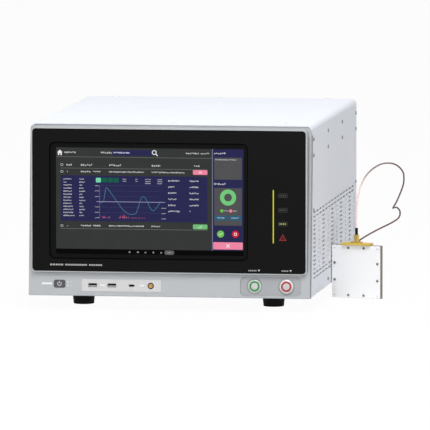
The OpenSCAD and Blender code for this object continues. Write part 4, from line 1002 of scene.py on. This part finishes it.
def addStatusStrip(facts):
    low, high = nodeBox("status_light")
    across, tall = (low.x + high.x) / 2, (high.z - low.z) / mm - 2 * facts["endInset"]
    wide = facts["width"]
    shape = roundRectangle(-wide / 2, -tall / 2, wide, tall, facts["corner"], facts["cornerSteps"])

    def onBar(x, depth, z):
        return Vector((across + x * mm, low.y + (depth - inkThickness) * mm, (low.z + high.z) / 2 + z * mm))

    addFlat("statusStrip", [shape], onBar, finishes["statusYellow"])


addStatusStrip(strip)
report("fascia marks")

# chin: marks, sockets and the joints round it
chin = {
    "setBack": 1.4, "slant": 4.63,
    "powerX": -167.7, "startX": 130.65, "stopX": 179.55, "buttonHeight": 18.0,
    "capFace": -0.8, "plateFace": -0.3,
    "iconRadius": 2.8, "iconStroke": 1.0, "iconArc": (125, 415), "iconBar": (0.5, 3.5),
    "dashRun": (-194.6, -179.2, 18.1, 2.7, 5, 0.8),
    "tickX": -150.0, "tickHeights": (21.0, 15.0), "tickSize": (0.5, 1.6),
    "usbA": (-116.8, -87.4), "usbC": -57.2, "jack": -28.0, "portHeight": 16.35,
    "portDashX": (-105.1, -101.6, -44.4, -40.9), "portDashLow": 15.8, "portDashSize": (2.9, 1.5),
}


def onChin(x, depth, height):
    # along the slanted face: depth goes in, height goes up the slope from the case's lower edge
    slope = math.radians(chin["slant"])
    y = chin["setBack"] + depth * math.cos(slope) + height * math.sin(slope)
    return spot(x, y, undersideZ / mm - depth * math.sin(slope) + height * math.cos(slope))


def chinLayer(front):
    def toWorld(x, depth, height):
        return onChin(x, front + depth, height)

    return toWorld


def arcParts(x, z, radius, width, start, end, steps=28):
    angles = [math.radians(start + (end - start) * k / steps) for k in range(steps + 1)]
    return strokeParts([(x + radius * math.cos(a), z + radius * math.sin(a)) for a in angles], width)


def addChinMarks(facts):
    x, z, stroke = facts["powerX"], facts["buttonHeight"], facts["iconStroke"]
    icon = arcParts(x, z, facts["iconRadius"], stroke, *facts["iconArc"])
    icon.append(rectangle(x - stroke / 2, z + facts["iconBar"][0], stroke, facts["iconBar"][1]))
    # the icon is print on the cap given its own glow: painted light
    addFlat("powerIcon", icon, chinLayer(facts["capFace"] - inkThickness),
            lit("powerIconInk", (206, 204, 208)), body="power_button_body")
    wide, tall = facts["tickSize"]
    dashes = dashRow(*facts["dashRun"])
    dashes += [rectangle(facts["tickX"], height - tall / 2, wide, tall) for height in facts["tickHeights"]]
    addFlat("chinDashes", dashes, chinLayer(-inkThickness), finishes["printPure"])
    dashes = [rectangle(x, facts["portDashLow"], *facts["portDashSize"]) for x in facts["portDashX"]]
    addFlat("portDashes", dashes, chinLayer(facts["plateFace"] - inkThickness), finishes["printPure"])


addChinMarks(chin)

# inside the sockets: left, low, width and height from each socket's middle, then depth and thickness
sockets = {
    "wideThroat": (-6.2, -2.55, 12.4, 5.1), "narrowThroat": (-3.85, -1.35, 7.7, 2.7, 0.9, 3),
    "throatDepth": 3.4, "throatThick": 0.3,
    "tongue": (-6.0, -2.4, 12.0, 1.5), "tongueDepth": 1.2, "tongueThick": 0.25,
    "contactFrom": (-3.6, -0.2), "contactDepth": 2.6, "contactStep": 2.4, "contactSize": (1.1, 2.4, 0.1),
    "contactCount": 4,
}


def moved(shape, x, z):
    return [(x + px, z + pz) for px, pz in shape]


def addSocketInsides(facts):
    # dark throats close the sockets behind their tongues' tips
    z = chin["portHeight"]
    throats = [moved(rectangle(*facts["wideThroat"]), x, z) for x in chin["usbA"]]
    throats.append(moved(roundRectangle(*facts["narrowThroat"]), chin["usbC"], z))
    addFlat("socketThroats", throats, chinLayer(facts["throatDepth"]), finishes["socketDark"],
            facts["throatThick"])
    tongues = [moved(rectangle(*facts["tongue"]), x, z) for x in chin["usbA"]]
    addFlat("socketTongues", tongues, chinLayer(facts["tongueDepth"]), finishes["tongueGrey"],
            facts["tongueThick"])
    left, low = facts["contactFrom"]
    contacts, size = [], Vector(facts["contactSize"]) * mm
    for x in chin["usbA"]:
        for k in range(facts["contactCount"]):
            place = onChin(x + left + facts["contactStep"] * k, facts["contactDepth"], z + low)
            contacts.append((place, size))
    addBars("socketContacts", contacts, finishes["goldPlate"])


addSocketInsides(sockets)

# thin lines round the front frame, in millimetres along the slanted face
frameLines = {
    # depth, lower end, width and length on the case's sides
    "seam": (6.1, 1.7, 1.3, 246.7), "seamSink": 0.35, "seamThick": 1.15,
    "side": (6.05, 0.3, 11.0, 246.7), "sideRise": 0.22, "sideThick": 0.2,
    # the painted shade line along the chin's lower edge, then the dark joint round the raised block, whose
    # dark grey also paints the shade under the block
    "lipInset": 1.2, "lipLow": 0.1, "lipTall": 0.8,
    "blockLow": 35.8, "blockTop": 240.0, "blockHalf": 207.0, "blockSide": 210.7, "sideLift": 4.0,
    "jointWidth": 1.3,
}


def onSide(side, sink):
    # the shape's x runs into the depth, and its thickness into the case's side
    return lambda depth, thick, height: onChin(side * (caseW / 2 - sink - thick), depth, height)


def addFrameLines(facts):
    for name, side in (("Left", -1), ("Right", 1)):
        addFlat("frontSeam" + name, [rectangle(*facts["seam"])], onSide(side, facts["seamSink"]),
                finishes["seamRubber"], facts["seamThick"])
        # the frame's side band in the darker copy of the silver paint: partly the frame's real silver side,
        # partly painted shade
        addFlat("shadedFrameSilver" + name, [rectangle(*facts["side"])], onSide(side, -facts["sideRise"]),
                finishes["shadedFrameSilver"], facts["sideThick"])
    # painted shade: a dark strip along the chin's lower edge, where the frame's bottom edge is in shadow
    inset = facts["lipInset"]
    lip = [rectangle(inset - caseW / 2, facts["lipLow"], caseW - 2 * inset, facts["lipTall"])]
    addFlat("lowerEdgeShade", lip, chinLayer(-inkThickness), finishes["shadedFrameSilver"])
    # dark grey strips round the raised block: partly its joint, partly painted shade under and beside it
    low, half, wide, sideX = facts["blockLow"], facts["blockHalf"], facts["jointWidth"], facts["blockSide"]
    joint = [rectangle(-half, low - wide, 2 * half, wide)]
    for x in (-sideX - wide, sideX):
        joint.append(rectangle(x, low + facts["sideLift"], wide, facts["blockTop"] - low))
    addFlat("blockJointShade", joint, chinLayer(-inkThickness), finishes["grooveShadeGrey"])


addFrameLines(frameLines)

# shade in the pad's left end, where the front's wall stands over it
padShade = {
    "middle": 155.1, "halfWidth": 46.2, "halfHeight": 14.25, "corner": 7.0, "face": 0.5, "line": 1.1,
    "inset": 0.75, "upperTurn": range(80, 181, 10), "lowerTurn": range(180, 241, 10),
}


def addPadShade(facts):
    radius, reach = facts["corner"] - facts["inset"], facts["halfHeight"] - facts["corner"]
    x, height = facts["middle"] - facts["halfWidth"] + facts["corner"], chin["buttonHeight"]
    line = []
    for turn, z in ((facts["upperTurn"], height + reach), (facts["lowerTurn"], height - reach)):
        for angle in map(math.radians, turn):
            line.append((x + radius * math.cos(angle), z + radius * math.sin(angle)))
    addFlat("padShade", strokeParts(line, facts["line"]), chinLayer(facts["face"] - inkThickness),
            finishes["collarGrey"])


addPadShade(padShade)


# rings turned about an axis into the chin
def joinRows(work, rows):
    # four-sided faces between each row of points and the next
    for first, second in zip(rows, rows[1:]):
        for i in range(len(first)):
            k = (i + 1) % len(first)
            work.faces.new((first[i], first[k], second[k], second[i]))


def turnedRing(name, x, z, profile, sides, crease):
    # a closed ring from a profile of radius and depth
    work = bmesh.new()
    rows = [[work.verts.new(onChin(px, depth, pz)) for px, pz in disc(x, z, radius, sides)]
            for radius, depth in profile]
    joinRows(work, rows + rows[:1])
    return meshFrom(work, name, crease)


def squareProfile(outer, inner, front, thick):
    return [(outer, front), (outer, front + thick), (inner, front + thick), (inner, front)]


startBand = [(5.2, -0.25), (5.3, -0.24), (5.72, 0.17), (5.72, 0.7), (5.55, 0.7), (5.2, 0.0)]
stopBand = [(radius, depth - 3.2) for radius, depth in startBand]
startRim = [(8.2, 0.2), (8.4, 0.2), (9.0, 0.45), (9.7, 1.0), (9.7, 8.0), (8.2, 8.0)]
stopRim = [(8.2, -3.0), (8.4, -3.0), (9.0, -2.85), (9.7, -2.35), (10.25, -1.65), (10.5, -0.9), (10.5, 0.45),
           (9.7, 0.45), (9.7, 8.0), (8.2, 8.0)]
stopCollar = [(10.6, -0.75), (10.85, -0.8), (11.2, -0.6), (12.8, 0.3), (13.0, 0.48), (10.6, 0.48)]
# flat dark rings as painted shade: in the groove round START, and in the jack's recess over its gold flange
grooveShadeRing, recessShadeRing = squareProfile(12.0, 11.3, 0.42, 0.08), squareProfile(4.85, 3.2, 2.6, 0.3)
insulator = squareProfile(2.35, 1.25, -0.6, 3.4)
flatSided, rounded = (40, None), (48, 40)  # sides and crease angle
ringFacts = {
    # name: x, profile, sides and crease angle, finish, slot, body
    "startGrooveShade": ("startX", grooveShadeRing, flatSided, "grooveShadeGrey", "painted_silver", mainBody),
    "jackRecessShade": ("jack", recessShadeRing, flatSided, "socketDark", "black_plastic", mainBody),
    "jackInsulator": ("jack", insulator, flatSided, "jackCore", "gold", mainBody),
    "startBand": ("startX", startBand, rounded, "ringGreen", "ring_green", "start_button_body"),
    "stopBand": ("stopX", stopBand, rounded, "ringRed", "ring_red", "stop_button_body"),
    "startRim": ("startX", startRim, rounded, "collarWhite", "bezel_white", mainBody),
    "stopRim": ("stopX", stopRim, rounded, "collarWhite", "bezel_white", mainBody),
    "stopCollar": ("stopX", stopCollar, rounded, "collarGrey", "painted_silver", mainBody),
}
for name, (across, profile, turning, ringFinish, slot, body) in ringFacts.items():
    height = chin["portHeight" if across == "jack" else "buttonHeight"]
    ring = turnedRing(name, chin[across], height, profile, *turning)
    addPiece(name, ring, finishes[ringFinish], body)
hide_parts("start_bezel")
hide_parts("stop_bezel")
report("chin dressed")

# dust screens behind the side vents; their dark grey also paints the shade of the case's inside seen through
# the slots
ventScreen = {
    "front": 43.0, "rear": 549.0, "low": 21.0, "high": 133.0, "corner": 3, "cornerSteps": 4,
    "behind": 1.55, "thick": 0.2,
}


def addDustScreens(facts):
    wide, tall = facts["rear"] - facts["front"], facts["high"] - facts["low"]
    outline = roundRectangle(facts["front"], facts["low"], wide, tall, facts["corner"], facts["cornerSteps"])
    for name, side in (("dustScreenLeft", -1), ("dustScreenRight", 1)):
        def toWorld(y, depth, z, side=side):
            return spot(side * (caseW / 2 - facts["behind"] - depth), y, undersideZ / mm + z)

        addFlat(name, [outline], toWorld, finishes["dustScreenShade"], facts["thick"])


addDustScreens(ventScreen)


# heads over the CAD's own small screws, found from the separate parts of a node
def partSpans(node, outward):
    # centre, radius and front of every separate part, measured along the outward direction
    work = bmesh.new()
    work.from_mesh(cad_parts[node].data)
    bmesh.ops.remove_doubles(work, verts=work.verts, dist=weldDistance)
    waiting, spans = set(work.verts), []
    while waiting:
        group, edge = [], [waiting.pop()]
        while edge:
            vert = edge.pop()
            group.append(vert.co.copy())
            for link in vert.link_edges:
                other = link.other_vert(vert)
                if other in waiting:
                    waiting.remove(other)
                    edge.append(other)
        centre = sum(group, Vector()) / len(group)
        front = max(co.dot(outward) for co in group)
        radius = max(((co - centre) - outward * (co - centre).dot(outward)).length for co in group)
        spans.append((centre - outward * centre.dot(outward), radius, front))
    work.free()
    return sorted(spans, key=lambda span: tuple(round(value, 5) for value in span[0]))


def headPlaces(node, outward, headHeight):
    # where each head stands, and the radius of the part below it
    return [(flat + outward * (front - headHeight), radius)
            for flat, radius, front in partSpans(node, outward)]


sensorFacts = {
    "turn": 15.2, "headHeight": 0.8, "cornerReach": 2.0,
    "wallSetBack": 1.8, "wallThick": 0.2, "wallOverlap": 7.0, "wallCorner": (0.8, 3),  # radius and steps
    "heads": [
        # name, whether at a corner, head radius, head and recess finishes
        ("sensorScrewHeads", False, 2.1, "sensorScrew", "recessShade"),
        ("sensorCornerHeads", True, 1.5, "paleScrew", "silverPaint"),
    ],
}
sensorTurn = math.radians(sensorFacts["turn"])
sensorFront = Vector((-math.sin(sensorTurn), -math.cos(sensorTurn), 0))
sideways = Vector((sensorFront.y, -sensorFront.x, 0))


def nearEnd(value, values):
    return min(value - min(values), max(values) - value) < sensorFacts["cornerReach"] * mm


def addSensorHeads(facts):
    height = facts["headHeight"] * mm
    places = [place for place, radius in headPlaces("sensor_screws", sensorFront, height)]
    across, levels = [place.dot(sideways) for place in places], [place.z for place in places]
    for name, atCorner, radius, headFinish, recessFinish in facts["heads"]:
        chosen = [(place, sensorFront) for place in places
                  if (nearEnd(place.dot(sideways), across) and nearEnd(place.z, levels)) == atCorner]
        heads = addScrews(name, chosen, radius * mm, height, headFinish, recessFinish)
        if not atCorner:
            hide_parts("sensor_screws")


def sensorSpan(node):
    # the node's left, right, low, high and front in the sensor's own directions
    places = [vertex.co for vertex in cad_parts[node].data.vertices]
    across, levels = [place.dot(sideways) for place in places], [place.z for place in places]
    return min(across), max(across), min(levels), max(levels), max(place.dot(sensorFront) for place in places)


def addSensorWalls(facts):
    # the box's two side walls come forward beside the pale cover
    setBack, thick, front = facts["wallSetBack"], facts["wallThick"], sensorSpan("sensor_cover")[4]
    left, right, low, high, boxFront = sensorSpan("sensor_body")
    depth = (front - boxFront) / mm + facts["wallOverlap"] - setBack
    outline = roundRectangle(setBack, low / mm, depth, (high - low) / mm, *facts["wallCorner"])
    for name, edge, side in (("sensorFlangeRight", left, -1), ("sensorFlangeLeft", right, 1)):
        def toWorld(back, lift, z, edge=edge, side=side):
            flat = sideways * (edge + side * (thick - lift) * mm)
            return flat + sensorFront * (front - back * mm) + Vector((0, 0, z * mm))

        addFlat(name, [outline], toWorld, finishes["sensorBox"], thick)


addSensorHeads(sensorFacts)
addSensorWalls(sensorFacts)
report("sensor dressed")

# parts on the main board, kept clear of the shield and the heat sink
boardParts = {
    "columns": 6, "rows": 24, "margin": 8.0, "standOff": 0.05, "chipShare": 0.5, "canShare": 0.12, "seed": 5,
    # the least and what chance adds, as shares of a cell or, for heights, in millimetres
    "chipWide": (0.35, 0.45), "chipDeep": (0.3, 0.45), "chipTall": (1.2, 1.6),
    "canRadius": (0.25, 0.15), "canTall": (9, 12), "canSides": 20,
    "lidRadius": 0.86, "lidThick": 0.03, "lidLift": 0.51,  # shares of the can's own radius and height
}


def canTree(facts):
    # a round can with a paler top, on every point, sized by the point's own radius and height
    tree, given = startTree("boardCans", [("Sleeve", "Material", None), ("Lid", "Material", None)])
    sides = facts["canSides"]
    wall = addNode(tree, "GeometryNodeMeshCylinder", {"Vertices": sides, "Radius": 1.0, "Depth": 1.0})
    lid = addNode(tree, "GeometryNodeMeshCylinder", {
        "Vertices": sides, "Radius": facts["lidRadius"], "Depth": facts["lidThick"]})
    can = joined(tree, painted(tree, wall.outputs["Mesh"], given["Sleeve"]),
                 painted(tree, lifted(tree, lid.outputs["Mesh"], facts["lidLift"]), given["Lid"]))
    return endTree(tree, onEveryPoint(tree, given, can, {"Scale": namedVector(tree, "canSize")}))


def addBoardParts(facts):
    def sized(key, chance):
        least, more = facts[key]
        return least + more * chance

    random.seed(facts["seed"])
    low, high = nodeBox("main_board")
    taken = [nodeBox("receiver_shield"), nodeBox("heat_sink")]
    margin = facts["margin"] * mm
    stepX = (high.x - low.x - 2 * margin) / facts["columns"]
    stepY = (high.y - low.y - 2 * margin) / facts["rows"]
    chips, cans = [], []
    for i in range(facts["columns"]):
        for k in range(facts["rows"]):
            x = low.x + margin + stepX * (i + 0.5)
            y = low.y + margin + stepY * (k + 0.5)
            chance, wide, deep, tall = [random.random() for draw in range(4)]
            if any(a.x - stepX / 2 < x < b.x + stepX / 2 and a.y - stepY / 2 < y < b.y + stepY / 2
                   for a, b in taken):
                continue
            if chance < facts["chipShare"]:
                size = (stepX * sized("chipWide", wide), stepY * sized("chipDeep", deep),
                        sized("chipTall", tall) * mm)
                points = chips
            elif chance < facts["chipShare"] + facts["canShare"]:
                radius = stepX * sized("canRadius", wide)
                size = (radius, radius, sized("canTall", tall) * mm)
                points = cans
            else:
                continue
            points.append(((x, y, high.z + size[2] / 2 + facts["standOff"] * mm), size))
    addBars("boardChips", chips, finishes["chipBlack"])
    growPoints("boardCans", cans, "canSize", canTree(facts),
               {"Sleeve": finishes["canSleeve"], "Lid": finishes["bareAluminium"]})


addBoardParts(boardParts)
report("main board filled")

# underside screws
trayFacts = {"sideInset": 9.0, "depths": (48.0, 190.0, 375.0, 530.0), "headRadius": 3.0, "headHeight": 1.2}
trayX = caseW / 2 - trayFacts["sideInset"]
trayPoints = [(spot(x, y, undersideZ / mm), (0, 0, -1)) for x in (-trayX, trayX) for y in trayFacts["depths"]]
addScrews("trayScrews", trayPoints, trayFacts["headRadius"] * mm, trayFacts["headHeight"] * mm)
report("underside screws")

# rear panel fittings
rear = {
    "face": 558.0, "lanX": 130.0, "serialX": 70.0, "rowHeight": 205.0,
    "postX": 12.5, "postRadius": 2.5, "postLength": 4.8, "postChamfer": 0.4, "postBore": (1.3, 1.2, 1.6),
    "shellFace": 6.0, "insertW": 16.6, "insertH": 7.8, "insertCorner": 2.2, "insertLift": 0.05,
    "insertThick": 0.05, "pinRadius": 0.55, "pinSides": 12, "pinStep": 2.7, "pinRow": 1.4, "pinLift": 0.08,
    "contactStep": 1.02, "contactCount": 8, "contactSize": (0.5, 8.0, 0.5), "contactDepth": -5.6,
    "contactLift": 4.3, "lightX": 5.2, "lightLift": 5.1, "lightSize": (2.8, 1.5, 0.3, 3), "lightFace": 0.65,
    "lightThick": 0.2,
    "screwX": (-204.0, 0.0, 204.0), "screwHeight": (14.0, 246.0), "screwMiddle": 130.0,
    "headRadius": 3.0, "headHeight": 1.3, "fanHeadHeight": 1.2,
    "earthX": -95.0, "earthHeight": 57.0, "earthLine": 0.6, "earthStem": 3.6, "earthOverlap": 0.2,
    "earthLines": ((3.4, 2.8), (2.2, 1.4), (1.0, 0)),
}
backward = Vector((0, 1, 0))


def onRear(x, depth, z):
    # depth goes out of the rear panel, away from the case
    return spot(x, rear["face"] + depth, undersideZ / mm + z)


def offRear(lift, x0=0.0, z0=0.0):
    # flat shapes that look backwards, with their front this far out of the panel
    return lambda x, depth, z: onRear(x0 + x, lift - depth, z0 + z)


def addSerialPosts(facts):
    # a six-sided post with a threaded hole on each side of the serial connector
    radius, length, chamfer = facts["postRadius"], facts["postLength"], facts["postChamfer"]
    mouth, bottom, bottomAt = facts["postBore"]
    profile = [(radius, 0.05), (radius, length - chamfer), (radius - chamfer, length), (mouth, length),
               (bottom, bottomAt)]
    for name, side in (("serialPostLeft", -1), ("serialPostRight", 1)):
        centre = onRear(facts["serialX"] + side * facts["postX"], 1.0, facts["rowHeight"])
        work = bmesh.new()
        rows = [[work.verts.new(centre + Vector((x, along, -z)) * mm) for x, z in disc(0, 0, radius, 6)]
                for radius, along in profile]
        joinRows(work, rows)
        work.faces.new(rows[0])
        work.faces.new(rows[-1])
        addPiece(name, meshFrom(work, name), finishes["socketSteel"])


def addRearContacts(facts):
    # the serial connector's insert and nine pins, then the network socket's contacts and two lights
    wide, tall, step, row = facts["insertW"], facts["insertH"], facts["pinStep"], facts["pinRow"]
    insert = [roundRectangle(-wide / 2, -tall / 2, wide, tall, facts["insertCorner"])]
    pins = [disc(step * k - start * step, z, facts["pinRadius"], facts["pinSides"])
            for count, start, z in ((5, 2, row), (4, 1.5, -row)) for k in range(count)]
    for name, shapes, lift, finish, slot in (
            ("serialInsert", insert, facts["insertLift"], "mouldedBlack", "black_plastic"),
            ("serialPins", pins, facts["pinLift"], "goldPlate", "gold")):
        onShell = offRear(facts["shellFace"] + lift, facts["serialX"], facts["rowHeight"])
        addFlat(name, shapes, onShell, finishes[finish], facts["insertThick"])
    step, count, size = facts["contactStep"], facts["contactCount"], Vector(facts["contactSize"]) * mm
    left, z = facts["lanX"] - step * (count - 1) / 2, facts["rowHeight"] + facts["contactLift"]
    contacts = [(onRear(left + step * k, facts["contactDepth"], z), size) for k in range(count)]
    addBars("lanContacts", contacts, finishes["goldPlate"])
    left, z = facts["lanX"] - facts["lightSize"][0] / 2, facts["rowHeight"] + facts["lightLift"]
    for name, side, lens in (("lanLightLeft", -1, "ledGreen"), ("lanLightRight", 1, "ledAmber")):
        shape = roundRectangle(left + side * facts["lightX"], z, *facts["lightSize"])
        addFlat(name, [shape], offRear(facts["lightFace"]), finishes[lens],
                facts["lightThick"])


def addRearScrews(facts):
    places = [onRear(x, 0, z) for x in facts["screwX"] for z in facts["screwHeight"]]
    places += [onRear(x, 0, facts["screwMiddle"]) for x in (facts["screwX"][0], facts["screwX"][-1])]
    addScrews("rearPanelScrews", [(place, backward) for place in places], facts["headRadius"] * mm,
              facts["headHeight"] * mm)
    fanHeads = headPlaces("fan_screws", backward, facts["fanHeadHeight"] * mm)
    heads = addScrews("fanScrewHeads", [(place, backward) for place, radius in fanHeads], fanHeads[0][1],
                      facts["fanHeadHeight"] * mm)
    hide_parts("fan_screws")


def addEarthSign(facts):
    x, z = facts["earthX"], facts["earthHeight"]
    line, tall = facts["earthLine"], facts["earthStem"]
    sign = [rectangle(x - line / 2, z + tall - facts["earthOverlap"], line, tall)]
    sign += [rectangle(x - half, z + lift, 2 * half, line) for half, lift in facts["earthLines"]]
    addFlat("earthSign", sign, onRear, finishes["printDark"])


# the rocker's ring and bar; its slopes are the faces that look backwards more than this
rockerMarks = {"facing": 0.85, "ringRadii": (1.9, 1.35), "ringSides": 24, "bar": (-0.3, -1.9, 0.6, 3.8)}


def addRockerMarks(facts):
    # a bar on one slope of the rocker and a ring on the other
    slopes = {}
    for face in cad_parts["mains_rocker"].data.polygons:
        if face.normal.y > facts["facing"]:
            key = (round(face.normal.y, 3), round(face.normal.z, 3))
            total, place, normal = slopes.get(key, (0.0, Vector(), face.normal.copy()))
            slopes[key] = (total + face.area, place + face.center * face.area, normal)
    largest = sorted(slopes.values(), key=lambda entry: -entry[0])[:2]
    largest.sort(key=lambda entry: entry[1].z / entry[0])
    circles = [disc(0, 0, radius, facts["ringSides"]) for radius in facts["ringRadii"]]
    shapes = (ringParts(*circles), [rectangle(*facts["bar"])])
    for name, (area, place, normal), parts in zip(("rockerRing", "rockerBar"), largest, shapes):
        centre, across = place / area, Vector((1, 0, 0))
        along = normal.cross(across)

        def onSlope(x, depth, z, centre=centre, across=across, along=along, normal=normal):
            return centre + across * (x * mm) + along * (z * mm) + normal * ((inkThickness - depth) * mm)

        addFlat(name, parts, onSlope, finishes["printWhite"], body="rocker_body")


addSerialPosts(rear)
addRearContacts(rear)
addRearScrews(rear)
addEarthSign(rear)
addRockerMarks(rockerMarks)
report("rear fittings")

# floor, backdrop and light
studio = {
    "floorShare": 0.955,  # share of plain white that the camera sees in the floor
    "floorColour": (0.80, 0.80, 0.80),
    "floorPatches": 3,
    "floorVary": 0.02,
    "floorRoughness": 0.8,
    "floorReach": 12.0,
    "ambient": 0.37,
    "lamps": [
        # name, place, aim, size, watts
        ("frontLamp", (0.4, -2.0, 3.55), (0, 0, 0.15), 2.2, 126.0),
        ("fillLamp", (0.5, -3.6, 0.8), (0, 0, 0.15), 1.6, 21.0),
        ("keyLamp", (-2.2, -2.2, 2.6), (0, 0, 0.15), 1.4, 16.0),
    ],
}


def greater(tree, first, second):
    return addNode(tree, "ShaderNodeMath", {0: first, 1: second}, operation="MAXIMUM").outputs[0]


def addWorld(facts):
    world = bpy.data.worlds.new("studioLight")
    bpy.context.scene.world = world
    world.use_nodes = True
    tree = world.node_tree
    rays = addNode(tree, "ShaderNodeLightPath").outputs
    direct = greater(tree, rays["Is Camera Ray"], rays["Is Glossy Ray"])
    seen = greater(tree, direct, rays["Is Transmission Ray"])
    feed(tree, tree.nodes["Background"], {
        "Color": (1.0, 1.0, 1.0, 1.0), "Strength": remap(tree, seen, facts["ambient"], 1.0)})


def floorFinish(facts):
    # matt and pale, but nearly plain white where the camera or a gloss sees it
    material, tree, shader = newFinish("paleFloor")
    patches = noise(tree, objectCoords(tree), facts["floorPatches"])
    feed(tree, shader, {"Base Color": mottled(tree, patches, facts["floorColour"], facts["floorVary"]),
                        "Roughness": facts["floorRoughness"]})
    glow = addNode(tree, "ShaderNodeEmission", {"Color": (1, 1, 1, 1), "Strength": 1.0})
    rays = addNode(tree, "ShaderNodeLightPath").outputs
    share = times(tree, greater(tree, rays["Is Camera Ray"], rays["Is Glossy Ray"]), facts["floorShare"])
    mix = addNode(tree, "ShaderNodeMixShader", {"Fac": share, 1: shader.outputs[0], 2: glow.outputs[0]})
    tree.links.new(mix.outputs[0], tree.nodes["Material Output"].inputs["Surface"])
    return material


def addStudio(facts):
    addWorld(facts)
    mesh = bpy.data.meshes.new("tableTop")
    reach = facts["floorReach"]
    mesh.from_pydata([(-reach, -reach, 0), (reach, -reach, 0), (reach, reach, 0), (-reach, reach, 0)], [],
                     [(0, 1, 2, 3)])
    mesh.materials.append(floorFinish(facts))
    newObject("tableTop", mesh)
    for name, place, aim, size, watts in facts["lamps"]:
        data = bpy.data.lights.new(name, "AREA")
        data.shape = "DISK"
        data.size = size
        data.energy = watts
        lamp = newObject(name, data)
        lamp.location = place
        lamp.rotation_euler = (Vector(aim) - Vector(place)).to_track_quat("-Z", "Y").to_euler()


addStudio(studio)
bpy.context.scene.view_settings.view_transform = "Standard"
report("studio lit")
